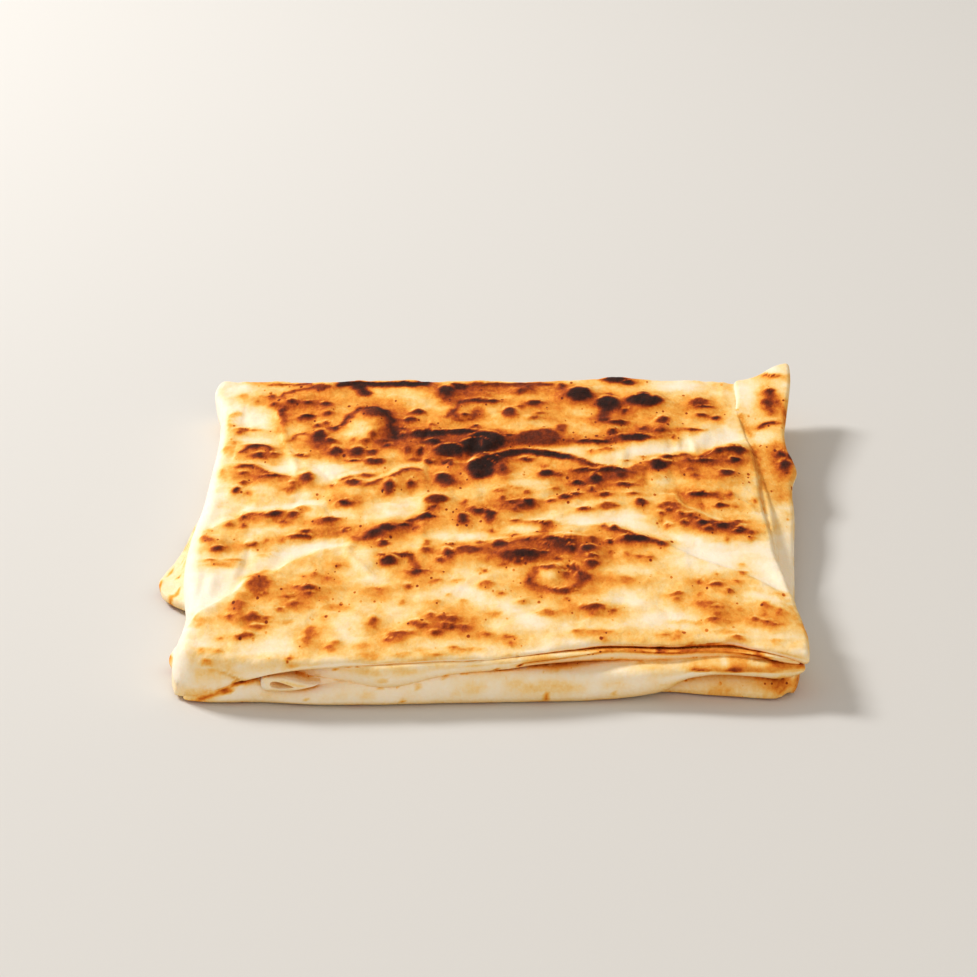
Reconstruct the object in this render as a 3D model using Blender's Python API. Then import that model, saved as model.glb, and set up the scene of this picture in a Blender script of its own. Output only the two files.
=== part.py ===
"""A gozleme: thin flatbread folded into a flat, nearly rectangular parcel and griddled.

Its layers of folded dough are modelled as closed slabs with rounded edges: the base on the table,
the roll along the front, the inner fold with a small curl, the strip along the right with its
raised back end, a tab at the left, and the top sheet with its folds and blisters. One union makes
them a single solid. Metres, +X to the right, +Y to the back, +Z up. The bread rests on z = 0.
"""

import math

import bmesh
import bpy
import numpy as np
from mathutils import Matrix, Vector, noise

# Driving dimensions
TOP_HEIGHT = 0.0170  # the top sheet's level near its edges
CROWN = 0.0012  # how much fuller the middle stands
LEFT, RIGHT = -0.106, 0.104  # nominal sides that the edge curves are drawn about
FRONT, BACK = -0.120, 0.131
FOLD_REACH = 0.040  # the transverse folds' slope towards the front dies out over about this length

CELL = 0.0058  # grid spacing of the top sheet
LOWER_CELL = 0.0100  # grid spacing of the layers under it
BEND_CELLS = 3  # grid cells round a quarter of an edge
SLIVER = 0.00001

# Outlines. Front and back edges are y at x, left and right edges are x at y.
TOP_FRONT = [(-0.106, -0.1165), (-0.098, -0.1200), (-0.080, -0.1216), (-0.060, -0.1212),
             (-0.020, -0.1185), (0.000, -0.1175), (0.020, -0.1120), (0.036, -0.1070),
             (0.060, -0.1082), (0.078, -0.1062), (0.090, -0.1125), (0.098, -0.1155),
             (0.106, -0.1175)]
TOP_BACK = [(-0.110, 0.1300), (-0.080, 0.1292), (-0.030, 0.1300), (0.030, 0.1308),
            (0.050, 0.1328), (0.070, 0.1315), (0.090, 0.1298), (0.101, 0.1280)]
TOP_LEFT = [(-0.120, -0.1066), (-0.110, -0.1078), (-0.092, -0.1058), (-0.078, -0.1052),
            (-0.064, -0.1068), (-0.050, -0.1084), (-0.015, -0.1088), (0.010, -0.1070),
            (0.040, -0.1062), (0.090, -0.1060), (0.102, -0.1068), (0.110, -0.1086),
            (0.120, -0.1104), (0.131, -0.1098)]
TOP_RIGHT = [(-0.118, 0.1062), (-0.103, 0.1064), (-0.080, 0.1044), (-0.055, 0.1024),
             (-0.039, 0.1007), (-0.020, 0.1006), (0.003, 0.0994), (0.040, 0.1000),
             (0.060, 0.0997), (0.073, 0.0985), (0.099, 0.0974), (0.111, 0.0980), (0.131, 0.1003)]

INNER_FRONT = [(-0.080, -0.1180), (-0.072, -0.1212), (-0.060, -0.1222), (-0.030, -0.1206),
               (0.000, -0.1180), (0.020, -0.1140), (0.036, -0.1108), (0.050, -0.1126),
               (0.078, -0.1122), (0.092, -0.1150), (0.105, -0.1190)]
INNER_BACK = [(-0.080, 0.1280), (-0.020, 0.1306), (0.040, 0.1288), (0.104, 0.1276)]
INNER_LEFT = [(-0.120, -0.0800), (-0.100, -0.0830), (-0.080, -0.0950), (-0.060, -0.1000),
              (-0.040, -0.1010), (0.040, -0.1010), (0.131, -0.1010)]
INNER_RIGHT = [(-0.120, 0.1045), (-0.105, 0.1055), (-0.060, 0.1020), (-0.030, 0.1022),
               (0.010, 0.1032), (0.040, 0.1022), (0.060, 0.1010), (0.080, 0.0995), (0.131, 0.0995)]

ROLL_FRONT = [(-0.103, -0.1195), (-0.095, -0.1214), (-0.060, -0.1228), (-0.020, -0.1222),
              (0.020, -0.1206), (0.060, -0.1186), (0.090, -0.1186), (0.104, -0.1170)]
ROLL_BACK_Y = -0.095  # hidden inside the bread
POCKET_DEPTH = 0.0070  # of the opening under the roll's raised right part

BASE_FRONT = [(-0.104, -0.1130), (-0.080, -0.1170), (0.000, -0.1165), (0.030, -0.1145),
              (0.050, -0.1126), (0.060, -0.1126), (0.070, -0.1144), (0.083, -0.1164),
              (0.092, -0.1182), (0.104, -0.1192)]
BASE_BACK = [(-0.104, 0.1260), (-0.050, 0.1286), (0.010, 0.1266), (0.060, 0.1290), (0.104, 0.1258)]
BASE_LEFT = [(-0.120, -0.1020), (-0.106, -0.1076), (-0.100, -0.1098), (-0.092, -0.1076),
             (-0.084, -0.1050), (-0.076, -0.1066), (-0.066, -0.1050), (-0.050, -0.1060),
             (0.000, -0.1062), (0.060, -0.1040), (0.131, -0.1060)]
BASE_RIGHT = [(-0.120, 0.1040), (-0.105, 0.1042), (-0.085, 0.1036), (-0.065, 0.1052),
              (-0.045, 0.1040), (0.020, 0.1056), (0.080, 0.1040), (0.131, 0.1060)]

STRIP_RIGHT = [(-0.075, 0.1040), (-0.050, 0.1064), (-0.020, 0.1088), (0.013, 0.1116),
               (0.025, 0.1120), (0.034, 0.1130), (0.043, 0.1152), (0.051, 0.1146),
               (0.058, 0.1132), (0.071, 0.1129), (0.087, 0.1148), (0.105, 0.1174),
               (0.120, 0.1194), (0.131, 0.1204)]
STRIP_LEFT = [(-0.075, 0.0885), (0.070, 0.0885), (0.085, 0.0900), (0.100, 0.0962), (0.131, 0.0978)]
STRIP_FRONT_Y = -0.075
STRIP_BACK = [(0.0885, 0.1270), (0.0985, 0.1285), (0.104, 0.1318), (0.112, 0.1330), (0.120, 0.1325)]

TAB_FRONT = [(-0.1185, -0.0350), (-0.1168, -0.0415), (-0.1135, -0.0468), (-0.1086, -0.0518),
             (-0.092, -0.0560)]
TAB_BACK = [(-0.1185, -0.0335), (-0.1170, -0.0260), (-0.1142, -0.0160), (-0.1115, -0.0020),
            (-0.1100, 0.0120), (-0.1065, 0.0200), (-0.092, 0.0240)]
TAB_LEFT_X, TAB_RIGHT_X = -0.1185, -0.092

# Levels along the front, z at x: the lower lip of each layer
TOP_LIP = [(-0.104, 0.0002), (-0.098, 0.0022), (-0.090, 0.0055), (-0.085, 0.0080),
           (-0.080, 0.0100), (-0.070, 0.0122), (-0.055, 0.0134), (-0.030, 0.0142),
           (0.000, 0.0150), (0.036, 0.0158), (0.080, 0.0157), (0.096, 0.0146), (0.105, 0.0120)]
INNER_LIP = [(-0.080, 0.0075), (-0.072, 0.0052), (-0.060, 0.0052), (-0.050, 0.0070),
             (-0.030, 0.0076), (-0.015, 0.0106), (0.000, 0.0118), (0.020, 0.0127),
             (0.036, 0.0137), (0.050, 0.0127), (0.064, 0.0123), (0.080, 0.0133), (0.104, 0.0118)]
ROLL_LIP = [(-0.102, 0.0), (0.022, 0.0), (0.034, 0.0), (0.049, 0.0012), (0.058, 0.0032),
            (0.064, 0.0072), (0.070, 0.0088), (0.088, 0.0084), (0.096, 0.0072), (0.104, 0.0085)]
ROLL_TOP = [(-0.102, 0.0030), (-0.095, 0.0052), (-0.085, 0.0090), (-0.078, 0.0095),
            (-0.070, 0.0066), (-0.060, 0.0064), (-0.050, 0.0080), (-0.030, 0.0088),
            (-0.015, 0.0110), (0.000, 0.0116), (0.016, 0.0116), (0.026, 0.0108), (0.036, 0.0108),
            (0.046, 0.0110), (0.058, 0.0124), (0.080, 0.0136), (0.104, 0.0124)]
# The strip's level beside the top sheet and at its outer edge, z at y
STRIP_NEAR = [(-0.075, 0.0080), (-0.020, 0.0112), (0.020, 0.0138), (0.060, 0.0152),
              (0.082, 0.0160), (0.100, 0.0182), (0.131, 0.0180)]
STRIP_FAR = [(-0.075, 0.0060), (-0.050, 0.0080), (-0.020, 0.0100), (0.013, 0.0126),
             (0.034, 0.0134), (0.046, 0.0146), (0.060, 0.0164), (0.087, 0.0180),
             (0.105, 0.0198), (0.120, 0.0216), (0.131, 0.0236)]

# Folds of the top sheet. Each runs along a line; in front of it the dough stands proud.
# line: y at x. rise: height of the crest. slack: depth of the hollow behind it.
FOLDS = [
    {"rise": 0.0018, "slack": 0.0012, "line": [
        (-0.018, 0.0375), (-0.009, 0.0380), (0.001, 0.0460), (0.012, 0.0515), (0.028, 0.0475),
        (0.040, 0.0360), (0.050, 0.0330), (0.061, 0.0425), (0.072, 0.0495), (0.077, 0.0450),
        (0.087, 0.0540), (0.098, 0.0625)]},
    {"rise": 0.0015, "slack": 0.0009, "line": [
        (0.010, -0.0155), (0.023, -0.0165), (0.040, -0.0185), (0.050, -0.0240), (0.060, -0.0300),
        (0.070, -0.0430), (0.080, -0.0515), (0.091, -0.0600), (0.104, -0.0725)]},
    {"rise": 0.0015, "slack": 0.0010, "line": [
        (-0.106, -0.1000), (-0.100, -0.0880), (-0.090, -0.0740), (-0.085, -0.0650),
        (-0.077, -0.0570), (-0.068, -0.0450), (-0.060, -0.0385), (-0.052, -0.0350)]},
    {"rise": 0.0009, "slack": 0.0005, "line": [
        (-0.102, -0.0195), (-0.092, -0.0095), (-0.082, -0.0035), (-0.067, 0.0015),
        (-0.060, -0.0045)]},
    {"rise": 0.0008, "slack": 0.0005, "line": [
        (-0.098, 0.0425), (-0.095, 0.0545), (-0.089, 0.0595), (-0.080, 0.0490)]},
    {"rise": 0.0006, "slack": 0.0004, "line": [
        (-0.097, 0.0390), (-0.089, 0.0400), (-0.074, 0.0280)]},
    {"rise": 0.0010, "slack": 0.0006, "line": [
        (-0.052, 0.0145), (-0.042, 0.0240), (-0.030, 0.0355), (-0.024, 0.0210)]},
    {"rise": 0.0007, "slack": 0.0005, "line": [
        (0.064, 0.0115), (0.072, -0.0010), (0.082, -0.0110), (0.092, -0.0155)]},
]
CREST_FALL, SLACK_OFFSET, SLACK_REACH = 0.0026, 0.0075, 0.0055  # behind the line
FOLD_END = 0.005  # a fold dies out over this length at its ends

# Ridges that run from front to back: x at y, with height and half-width.
RIDGES = [
    {"height": 0.0008, "half": 0.0018, "line": [
        (0.019, -0.0740), (0.036, -0.0736), (0.053, -0.0776), (0.067, -0.0796), (0.093, -0.0840)]},
    {"height": 0.0009, "half": 0.0018, "line": [
        (-0.060, -0.0420), (-0.050, -0.0480), (-0.038, -0.0510), (-0.031, -0.0490)]},
]

# Domes that steam raised and dips between them: centre x, y, radii along x and y, height.
DOMES = [
    (-0.048, 0.076, 0.010, 0.016, 0.0015), (-0.033, 0.024, 0.008, 0.011, 0.0007),
    (-0.040, -0.047, 0.009, 0.010, 0.0010), (0.021, -0.058, 0.006, 0.007, 0.0010),
    (-0.054, 0.009, 0.007, 0.009, 0.0008), (-0.092, 0.088, 0.010, 0.015, -0.0007),
    (0.010, 0.082, 0.012, 0.012, 0.0008), (0.060, 0.101, 0.014, 0.014, 0.0010),
    (-0.014, 0.088, 0.008, 0.010, 0.0008), (-0.030, 0.109, 0.012, 0.010, 0.0006),
    (0.034, 0.107, 0.009, 0.010, 0.0007), (-0.078, 0.104, 0.009, 0.008, 0.0008),
    (0.012, 0.020, 0.012, 0.010, 0.0007), (0.084, 0.026, 0.011, 0.012, 0.0007),
    (0.030, 0.040, 0.012, 0.009, 0.0006), (-0.038, -0.020, 0.008, 0.010, 0.0007),
    (0.008, -0.042, 0.009, 0.008, 0.0007), (-0.062, -0.069, 0.009, 0.009, 0.0007),
    (-0.080, -0.088, 0.009, 0.010, 0.0007), (-0.022, -0.095, 0.010, 0.010, 0.0006),
    (0.076, -0.082, 0.009, 0.012, 0.0006), (0.082, -0.036, 0.013, 0.009, -0.0005),
    (0.060, -0.093, 0.014, 0.008, -0.0004), (-0.010, -0.074, 0.011, 0.008, -0.0004),
]
RIPPLE, RIPPLE_LENGTH = 0.0005, 0.024


def ease(low, high, at):
    """0 below low, 1 above high, smooth between."""
    share = np.clip((at - low) / (high - low), 0.0, 1.0)
    return share * share * (3.0 - 2.0 * share)


def through(points, at):
    """The smooth curve through the points, level past its ends."""
    where, value = np.array(points, float).T
    slope = np.gradient(value, where)
    i = np.clip(np.searchsorted(where, at) - 1, 0, len(where) - 2)
    gap = where[i + 1] - where[i]
    t = np.clip((at - where[i]) / gap, 0.0, 1.0)
    return (value[i] * (1 + 2 * t) * (1 - t) ** 2 + slope[i] * gap * t * (1 - t) ** 2
            + value[i + 1] * t * t * (3 - 2 * t) + slope[i + 1] * gap * t * t * (t - 1))


def ripple(x, y, length, seed):
    """Smooth noise between about -1 and 1, at x and y."""
    return np.array([noise.noise(Vector((a / length, b / length, seed))) for a, b in zip(x, y)])


def along(line, at, end):
    """1 within the line's ends, fading to 0 over the length end past them."""
    return ease(line[0][0] - end, line[0][0] + end, at) * (
        1 - ease(line[-1][0] - end, line[-1][0] + end, at))


def fold_height(fold, x, y):
    """A long rise to the crest from the front, a steep drop behind it, then a hollow."""
    line = fold["line"]
    lean = (through(line, x + 0.001) - through(line, x - 0.001)) / 0.002
    behind = (y - through(line, x)) / np.sqrt(1 + lean * lean)
    front_side = np.exp(np.minimum(behind, 0) / (FOLD_REACH / 3))
    back_side = np.exp(-(np.maximum(behind, 0) / CREST_FALL) ** 2)
    hollow = np.exp(-((behind - SLACK_OFFSET) / SLACK_REACH) ** 2)
    shape = fold["rise"] * np.minimum(front_side, back_side) - fold["slack"] * hollow
    return shape * along(line, x, FOLD_END)


def top_relief(x, y):
    """What the top sheet's folds, ridges, blisters and ripples add to its level."""
    height = CROWN * (1 - (x / 0.11) ** 2) * (1 - ((y - 0.005) / 0.13) ** 2)
    for fold in FOLDS:
        height = height + fold_height(fold, x, y)
    for ridge in RIDGES:
        off = (x - through(ridge["line"], y)) / ridge["half"]
        height = height + ridge["height"] * np.exp(-off * off) * along(ridge["line"], y, FOLD_END)
    for cx, cy, radius_x, radius_y, rise in DOMES:
        away = ((x - cx) / radius_x) ** 2 + ((y - cy) / radius_y) ** 2
        height = height + rise * np.exp(-1.4 * away ** 1.5)
    return height + RIPPLE * ripple(x, y, RIPPLE_LENGTH, 3.0)


def top_of_top_sheet(x, y):
    return TOP_HEIGHT + top_relief(x, y)


def under_top_sheet(x, y):
    """The sheet's underside. At the left it runs down to the table, where the sheet folds under."""
    inside = ease(-0.1180, -0.0900, y)
    lip = through(TOP_LIP, x)
    left_fold = 0.0002 + 0.0118 * ease(-0.1060, -0.0860, x)
    return lip * (1 - inside) + np.minimum(left_fold, 0.0118) * inside


def across(grid, cells, half, low_radius, high_radius):
    """Where a grid line lies between two rounded edges, and how far up the edge it stands.

    grid runs from -1 to 1. The cells next to each edge follow a quarter round of the given radius.
    """
    from_rim = (1 - np.abs(grid)) * cells / 2
    radius = np.where(grid < 0, low_radius, high_radius) / half
    turn = np.clip(from_rim / BEND_CELLS, 0, 1) * math.pi / 2
    inner = np.clip((from_rim - BEND_CELLS) / (cells / 2 - BEND_CELLS), 0, 1)
    inset = radius * (1 - np.cos(turn)) + inner * (1 - radius)
    return np.sign(grid) * (1 - inset), np.sin(turn)


def slab(name, cell, span, edges, radii, top, bottom, rim=0.5, corner=0.006):
    """A closed layer of dough.

    span is its nominal (left, right, front, back). edges are its outlines (left, right, front,
    back), radii the rounding of each edge, top and bottom its faces' z at x, y. rim is how far up
    its thickness the outermost line of the edge lies. Each may be a number or a function.
    """
    left, right, front, back = span
    half_x, half_y = (right - left) / 2, (back - front) / 2
    cells_x = 2 * round(half_x / cell) + 2 * BEND_CELLS
    cells_y = 2 * round(half_y / cell) + 2 * BEND_CELLS
    bm = bmesh.new()
    for side in (Matrix.Translation((0, 0, 1)),
                 Matrix.Translation((0, 0, -1)) @ Matrix.Rotation(math.pi, 4, "X")):
        bmesh.ops.create_grid(bm, x_segments=cells_x, y_segments=cells_y, size=1.0, matrix=side)
    u, v, side = np.array([vert.co for vert in bm.verts], float).T
    at_x, at_y = (left + right) / 2 + half_x * u, (front + back) / 2 + half_y * v
    s, rise_x = across(u, cells_x, half_x, value(radii[0], at_y), value(radii[1], at_y))
    t, rise_y = across(v, cells_y, half_y, value(radii[2], at_x), value(radii[3], at_x))
    round_s = s * (1 - corner / half_x * np.abs(t) ** 14)
    round_t = t * (1 - corner / half_y * np.abs(s) ** 14)
    x0 = (left + right) / 2 + half_x * round_s
    y0 = (front + back) / 2 + half_y * round_t
    x = value(edges[0], y0) * (1 - round_s) / 2 + value(edges[1], y0) * (1 + round_s) / 2
    y = value(edges[2], x0) * (1 - round_t) / 2 + value(edges[3], x0) * (1 + round_t) / 2
    low, high = value(bottom, x, y), value(top, x, y)
    level = low + (high - low) * value(rim, x, y)
    z = level + np.where(side > 0, high - level, low - level) * rise_x * rise_y
    for vert, place in zip(bm.verts, np.column_stack((x, y, z))):
        vert.co = place
    bmesh.ops.remove_doubles(bm, verts=bm.verts, dist=1e-6)
    corners = [vert for vert in bm.verts if len(vert.link_edges) == 2]
    bmesh.ops.dissolve_verts(bm, verts=corners)
    flatten_underside(bm)
    mesh = bpy.data.meshes.new(name)
    bm.to_mesh(mesh)
    bm.free()
    return bpy.data.objects.new(name, mesh)


def flatten_underside(bm):
    """Makes the level faces of an underside one face, where it has any."""
    level = [f for f in bm.faces if f.normal.z < -0.999999]
    if len(level) > 1 and max(f.calc_center_median().z for f in level) < 1e-5:
        bmesh.ops.dissolve_faces(bm, faces=level, use_verts=True)


def curve(points):
    return lambda at: through(points, at)


def value(rule, *at):
    """A function's value at a place, or the number it is given as."""
    return rule(*at) if callable(rule) else np.full_like(at[0], rule)


def base():
    """The layer on the table. Its right end is thicker, where the dough turns up.

    Under the raised part of the roll its front slopes back, which leaves an open pocket there.
    """
    def pocket(x):
        return ease(0.0460, 0.0560, x) * (1 - ease(0.0800, 0.0900, x))

    def top(x, _y):
        return 0.0088 + 0.0030 * ease(0.0930, 0.1010, x)

    def front_radius(x):
        return 0.0028 + POCKET_DEPTH * pocket(x)

    def rim(x, y):
        return 0.42 - 0.26 * pocket(x) * (1 - ease(-0.1000, -0.0900, y))
    return slab("base", LOWER_CELL, (-0.104, 0.104, -0.118, 0.129),
                [curve(BASE_LEFT), curve(BASE_RIGHT), curve(BASE_FRONT), curve(BASE_BACK)],
                (0.0040, 0.0050, front_radius, 0.0045), top, 0.0, rim=rim, corner=0.005)


def roll():
    """The folded edge along the front. It lies on the table at the left and lifts at the right."""
    return slab("roll", LOWER_CELL, (-0.102, 0.104, -0.120, ROLL_BACK_Y),
                [-0.1030, 0.1042, curve(ROLL_FRONT), ROLL_BACK_Y],
                (0.0015, 0.0040, 0.0042, 0.0040), lambda x, _y: through(ROLL_TOP, x),
                lambda x, _y: through(ROLL_LIP, x) + 0.0003, rim=0.34, corner=0.001)


def inner_fold():
    """The layer between the base and the top sheet, which shows all round as a second lip."""
    def bottom(x, y):
        inside = ease(-0.1180, -0.1000, y)
        return through(INNER_LIP, x) * (1 - inside) + 0.0072 * inside

    def top(x, y):
        inside = ease(-0.1180, -0.1000, y)
        lip = np.maximum(through(TOP_LIP, x) + 0.0008, through(INNER_LIP, x) + 0.0016)
        right = 0.0018 * ease(0.0960, 0.1010, x)
        return lip * (1 - inside) + (0.0134 + right) * inside
    return slab("inner_fold", LOWER_CELL, (-0.100, 0.104, -0.120, 0.130),
                [curve(INNER_LEFT), curve(INNER_RIGHT), curve(INNER_FRONT), curve(INNER_BACK)],
                (0.0030, 0.0020, 0.0022, 0.0030), top, bottom, corner=0.003)


def curl():
    """A small loop of dough in the gap between the roll and the top sheet."""
    def top(x, _y):
        return 0.0096 - 0.0034 * ease(-0.0740, -0.0600, x)

    def bottom(x, _y):
        return 0.0042 + 3.0 * (x + 0.067) ** 2
    return slab("curl", 0.0045, (-0.0765, -0.0570, -0.1236, -0.1120),
                [-0.0765, -0.0570, lambda x: -0.1236 + 0.0030 * ease(-0.0660, -0.0560, x), -0.1120],
                (0.0020, 0.0030, 0.0016, 0.0016), top, bottom, rim=0.35, corner=0.001)


def side_strip():
    """The strip along the right, half under the top sheet. Its back end flares up."""
    def top(x, y):
        out = ease(0.0980, 0.0010 + through(STRIP_RIGHT, y), x)
        return through(STRIP_NEAR, y) * (1 - out) + through(STRIP_FAR, y) * out

    def bottom(x, y):
        return top(x, y) - 0.0040 - 0.0012 * (1 - ease(-0.075, 0.0, y))
    return slab("side_strip", CELL, (STRIP_LEFT[0][1], 0.113, STRIP_FRONT_Y, 0.131),
                [curve(STRIP_LEFT), curve(STRIP_RIGHT), STRIP_FRONT_Y, curve(STRIP_BACK)],
                (0.0024, 0.0020, 0.0030, 0.0024), top, bottom, corner=0.001)


def tab():
    """The corner of a lower fold that shows at the left."""
    def top(x, y):
        ridge = np.exp(-((y + 0.034 + 0.25 * (x + 0.117)) / 0.0040) ** 2)
        return 0.0042 + 0.0014 * ease(-0.117, -0.104, x) + 0.0008 * ridge

    def bottom(x, y):
        return 0.0008 + 4.0 * (x + 0.100) ** 2 + 1.0 * (y + 0.035) ** 2
    return slab("tab", 0.0045, (TAB_LEFT_X, TAB_RIGHT_X, -0.050, 0.005),
                [TAB_LEFT_X, TAB_RIGHT_X, curve(TAB_FRONT), curve(TAB_BACK)],
                (0.0014, 0.0014, 0.0016, 0.0016), top, bottom, corner=0.001)


def top_sheet():
    """The griddled face. Its right edge is a thin lip, its left edge a full fold."""
    def rim(x, y):
        left = 1 - ease(-0.1060, -0.0700, x)
        low_corner = 0.22 * left * (1 - ease(-0.1120, -0.0850, y))
        high_corner = 0.32 * left * ease(0.0850, 0.1150, y)
        return 0.50 - low_corner + high_corner

    def left_radius(y):
        return 0.0062 - 0.0026 * ease(0.0850, 0.1150, y)

    def front_radius(x):
        return 0.0028 + 0.0034 * (1 - ease(-0.0950, -0.0650, x))
    return slab("top_sheet", CELL, (LEFT, RIGHT, FRONT, BACK),
                [curve(TOP_LEFT), curve(TOP_RIGHT), curve(TOP_FRONT), curve(TOP_BACK)],
                (left_radius, 0.0022, front_radius, 0.0050), top_of_top_sheet, under_top_sheet,
                rim=rim, corner=0.001)


def dough_material():
    material = bpy.data.materials.new("griddled_dough")
    material.use_nodes = True
    shader = material.node_tree.nodes["Principled BSDF"]
    shader.inputs["Base Color"].default_value = (0.80, 0.58, 0.33, 1.0)
    shader.inputs["Roughness"].default_value = 0.62
    shader.inputs["Metallic"].default_value = 0.0
    return material


def united(name, layers):
    """One solid from the layers, by a union that is applied; the layers are then removed."""
    group = bpy.data.collections.new("layers")
    bpy.context.scene.collection.children.link(group)
    for layer in layers[1:]:
        group.objects.link(layer)
    first = layers[0]
    bpy.context.scene.collection.objects.link(first)
    joining = first.modifiers.new("union", "BOOLEAN")
    joining.operation = "UNION"
    joining.operand_type = "COLLECTION"
    joining.collection = group
    joining.solver = "EXACT"
    bpy.context.view_layer.update()
    graph = bpy.context.evaluated_depsgraph_get()
    mesh = bpy.data.meshes.new_from_object(first.evaluated_get(graph))
    mesh.name = name
    drop_slivers(mesh)
    for layer in layers:
        bpy.data.objects.remove(layer)
    bpy.data.collections.remove(group)
    return bpy.data.objects.new(name, mesh)


def drop_slivers(mesh):
    """Removes the edges and faces that the union left thinner than SLIVER."""
    bm = bmesh.new()
    bm.from_mesh(mesh)
    bmesh.ops.triangulate(bm, faces=[f for f in bm.faces if len(f.verts) < 40])
    bmesh.ops.remove_doubles(bm, verts=bm.verts, dist=SLIVER)
    bmesh.ops.dissolve_degenerate(bm, edges=bm.edges, dist=SLIVER)
    bm.to_mesh(mesh)
    bm.free()


def centre_on_table(mesh):
    """Moves the mesh so that its box is centred on the origin and stands on z = 0."""
    places = np.array([vert.co for vert in mesh.vertices])
    low, high = places.min(axis=0), places.max(axis=0)
    middle = (low + high) / 2
    mesh.transform(Matrix.Translation((-middle[0], -middle[1], -low[2])))


def main():
    for obj in list(bpy.data.objects):
        bpy.data.objects.remove(obj)
    collection = bpy.data.collections.new("gozleme")
    bpy.context.scene.collection.children.link(collection)
    layers = [top_sheet(), inner_fold(), curl(), roll(), base(), side_strip(), tab()]
    bread = united("folded_bread", layers)
    centre_on_table(bread.data)
    bread.data.materials.clear()
    bread.data.materials.append(dough_material())
    bread.data.shade_smooth()
    bread.data.set_sharp_from_angle(angle=math.radians(50))
    collection.objects.link(bread)


main()
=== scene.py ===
"""The looks of the gozleme: its folded layers at full detail and the toasted face of its dough.

Lengths are metres on the drawing's axes, +X to the right, +Y to the back, the table at z = 0. The
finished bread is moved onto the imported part. Its folds and toast marks are drawn in millimetres on
a plan: the place where the sight line through a point of the face meets the level TOP_HEIGHT.
"""

import math

import bmesh
import bpy
import numpy as np
from mathutils import Matrix, Vector, noise
from mathutils.bvhtree import BVHTree


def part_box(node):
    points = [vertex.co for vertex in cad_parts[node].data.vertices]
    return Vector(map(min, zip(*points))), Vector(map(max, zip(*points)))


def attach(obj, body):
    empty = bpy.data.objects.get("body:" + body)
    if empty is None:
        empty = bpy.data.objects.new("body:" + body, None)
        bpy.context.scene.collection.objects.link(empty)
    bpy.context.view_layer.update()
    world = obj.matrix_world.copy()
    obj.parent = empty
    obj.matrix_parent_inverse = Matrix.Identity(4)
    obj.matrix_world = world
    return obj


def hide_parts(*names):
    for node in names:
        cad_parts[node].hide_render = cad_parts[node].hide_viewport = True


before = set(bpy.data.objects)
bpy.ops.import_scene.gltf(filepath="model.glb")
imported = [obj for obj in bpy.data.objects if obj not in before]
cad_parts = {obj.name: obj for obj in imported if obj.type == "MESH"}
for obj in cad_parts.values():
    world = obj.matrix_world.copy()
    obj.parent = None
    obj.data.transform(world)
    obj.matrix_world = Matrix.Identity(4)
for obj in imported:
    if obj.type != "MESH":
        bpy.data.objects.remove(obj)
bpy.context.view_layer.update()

MM = 0.001

# Driving dimensions, as in the part
TOP_HEIGHT = 0.0170  # the top sheet's level near its edges
CROWN = 0.0012  # how much fuller the middle stands
LEFT, RIGHT = -0.106, 0.104  # nominal sides that the edge curves are drawn about
FRONT, BACK = -0.120, 0.131
TAB_LEFT_X, TAB_RIGHT_X = -0.1185, -0.092  # the tab's tip is the bread's leftmost point
CURL_FRONT_Y = -0.1236  # the curl is its frontmost
CURL_BACK_Y = -0.1120
CURL_LEFT_X, CURL_RIGHT_X = -0.0765, -0.0570
HOLLOW_CENTRE, HOLLOW_RADII = (-0.0694, -0.1240, 0.0091), (0.0040, 0.0060, 0.0011)  # in the curl
BASE_TOP = 0.0088
INNER_BOTTOM, INNER_TOP = 0.0072, 0.0134  # the inner fold's levels behind its lip
SHEET_BOTTOM = 0.0118  # the top sheet's underside behind its lip
SHEET_TURN = 0.0002  # where the top sheet turns under at the left and at the front left corner
FOLD_REACH = 0.040  # the folds' slope towards the front dies out over about this length

# Grid spacings along x and y: of the top sheet, of the layers under it and of the small pieces
TOP_CELLS = ((0.00088, 0.00122))
LOWER_CELLS = ((0.0018, 0.0045))
SMALL_CELLS = ((0.0009, 0.0012))
STRIP_CELLS = ((0.0012, 0.0015))
BEND_CELLS = 7  # grid cells round a quarter of an edge
TOP_BEND_CELLS = 12
MERGE_DISTANCE = 5e-6  # of the two faces' rims
CORNER_POWER = 14  # the higher it is, the tighter the layers' corners are rounded
SET_BACK_REACH = (0.0040, 0.0100)  # behind a front edge, where its set-back dies out

# The camera, on the drawing's axes
CAMERA_PLACE = Vector((-0.00116, -1.06364, 0.49352))
CAMERA_DOWN = math.radians(23.728)
CAMERA_LENS = 117.91

# Outlines. Front and back edges are y at x, left and right edges are x at y.
TOP_FRONT = [(-0.106, -0.1165), (-0.098, -0.1200), (-0.080, -0.1216), (-0.060, -0.1212),
             (-0.020, -0.1185), (0.000, -0.1175), (0.020, -0.1120), (0.036, -0.1070),
             (0.060, -0.1082), (0.078, -0.1062), (0.090, -0.1125), (0.098, -0.1155),
             (0.106, -0.1175)]
TOP_BACK = [(-0.110, 0.1300), (-0.080, 0.1292), (-0.030, 0.1300), (0.030, 0.1308),
            (0.050, 0.1328), (0.070, 0.1315), (0.090, 0.1298), (0.101, 0.1280)]
TOP_LEFT = [(-0.120, -0.1066), (-0.110, -0.1078), (-0.092, -0.1058), (-0.078, -0.1052),
            (-0.064, -0.1068), (-0.050, -0.1084), (-0.015, -0.1088), (0.010, -0.1070),
            (0.040, -0.1062), (0.090, -0.1060), (0.102, -0.1068), (0.110, -0.1086),
            (0.120, -0.1104), (0.131, -0.1098)]
TOP_RIGHT = [(-0.118, 0.1062), (-0.103, 0.1064), (-0.080, 0.1044), (-0.055, 0.1024),
             (-0.039, 0.1007), (-0.020, 0.1006), (0.003, 0.0994), (0.040, 0.1000),
             (0.060, 0.0997), (0.073, 0.0985), (0.099, 0.0974), (0.111, 0.0980), (0.131, 0.1003)]

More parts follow.
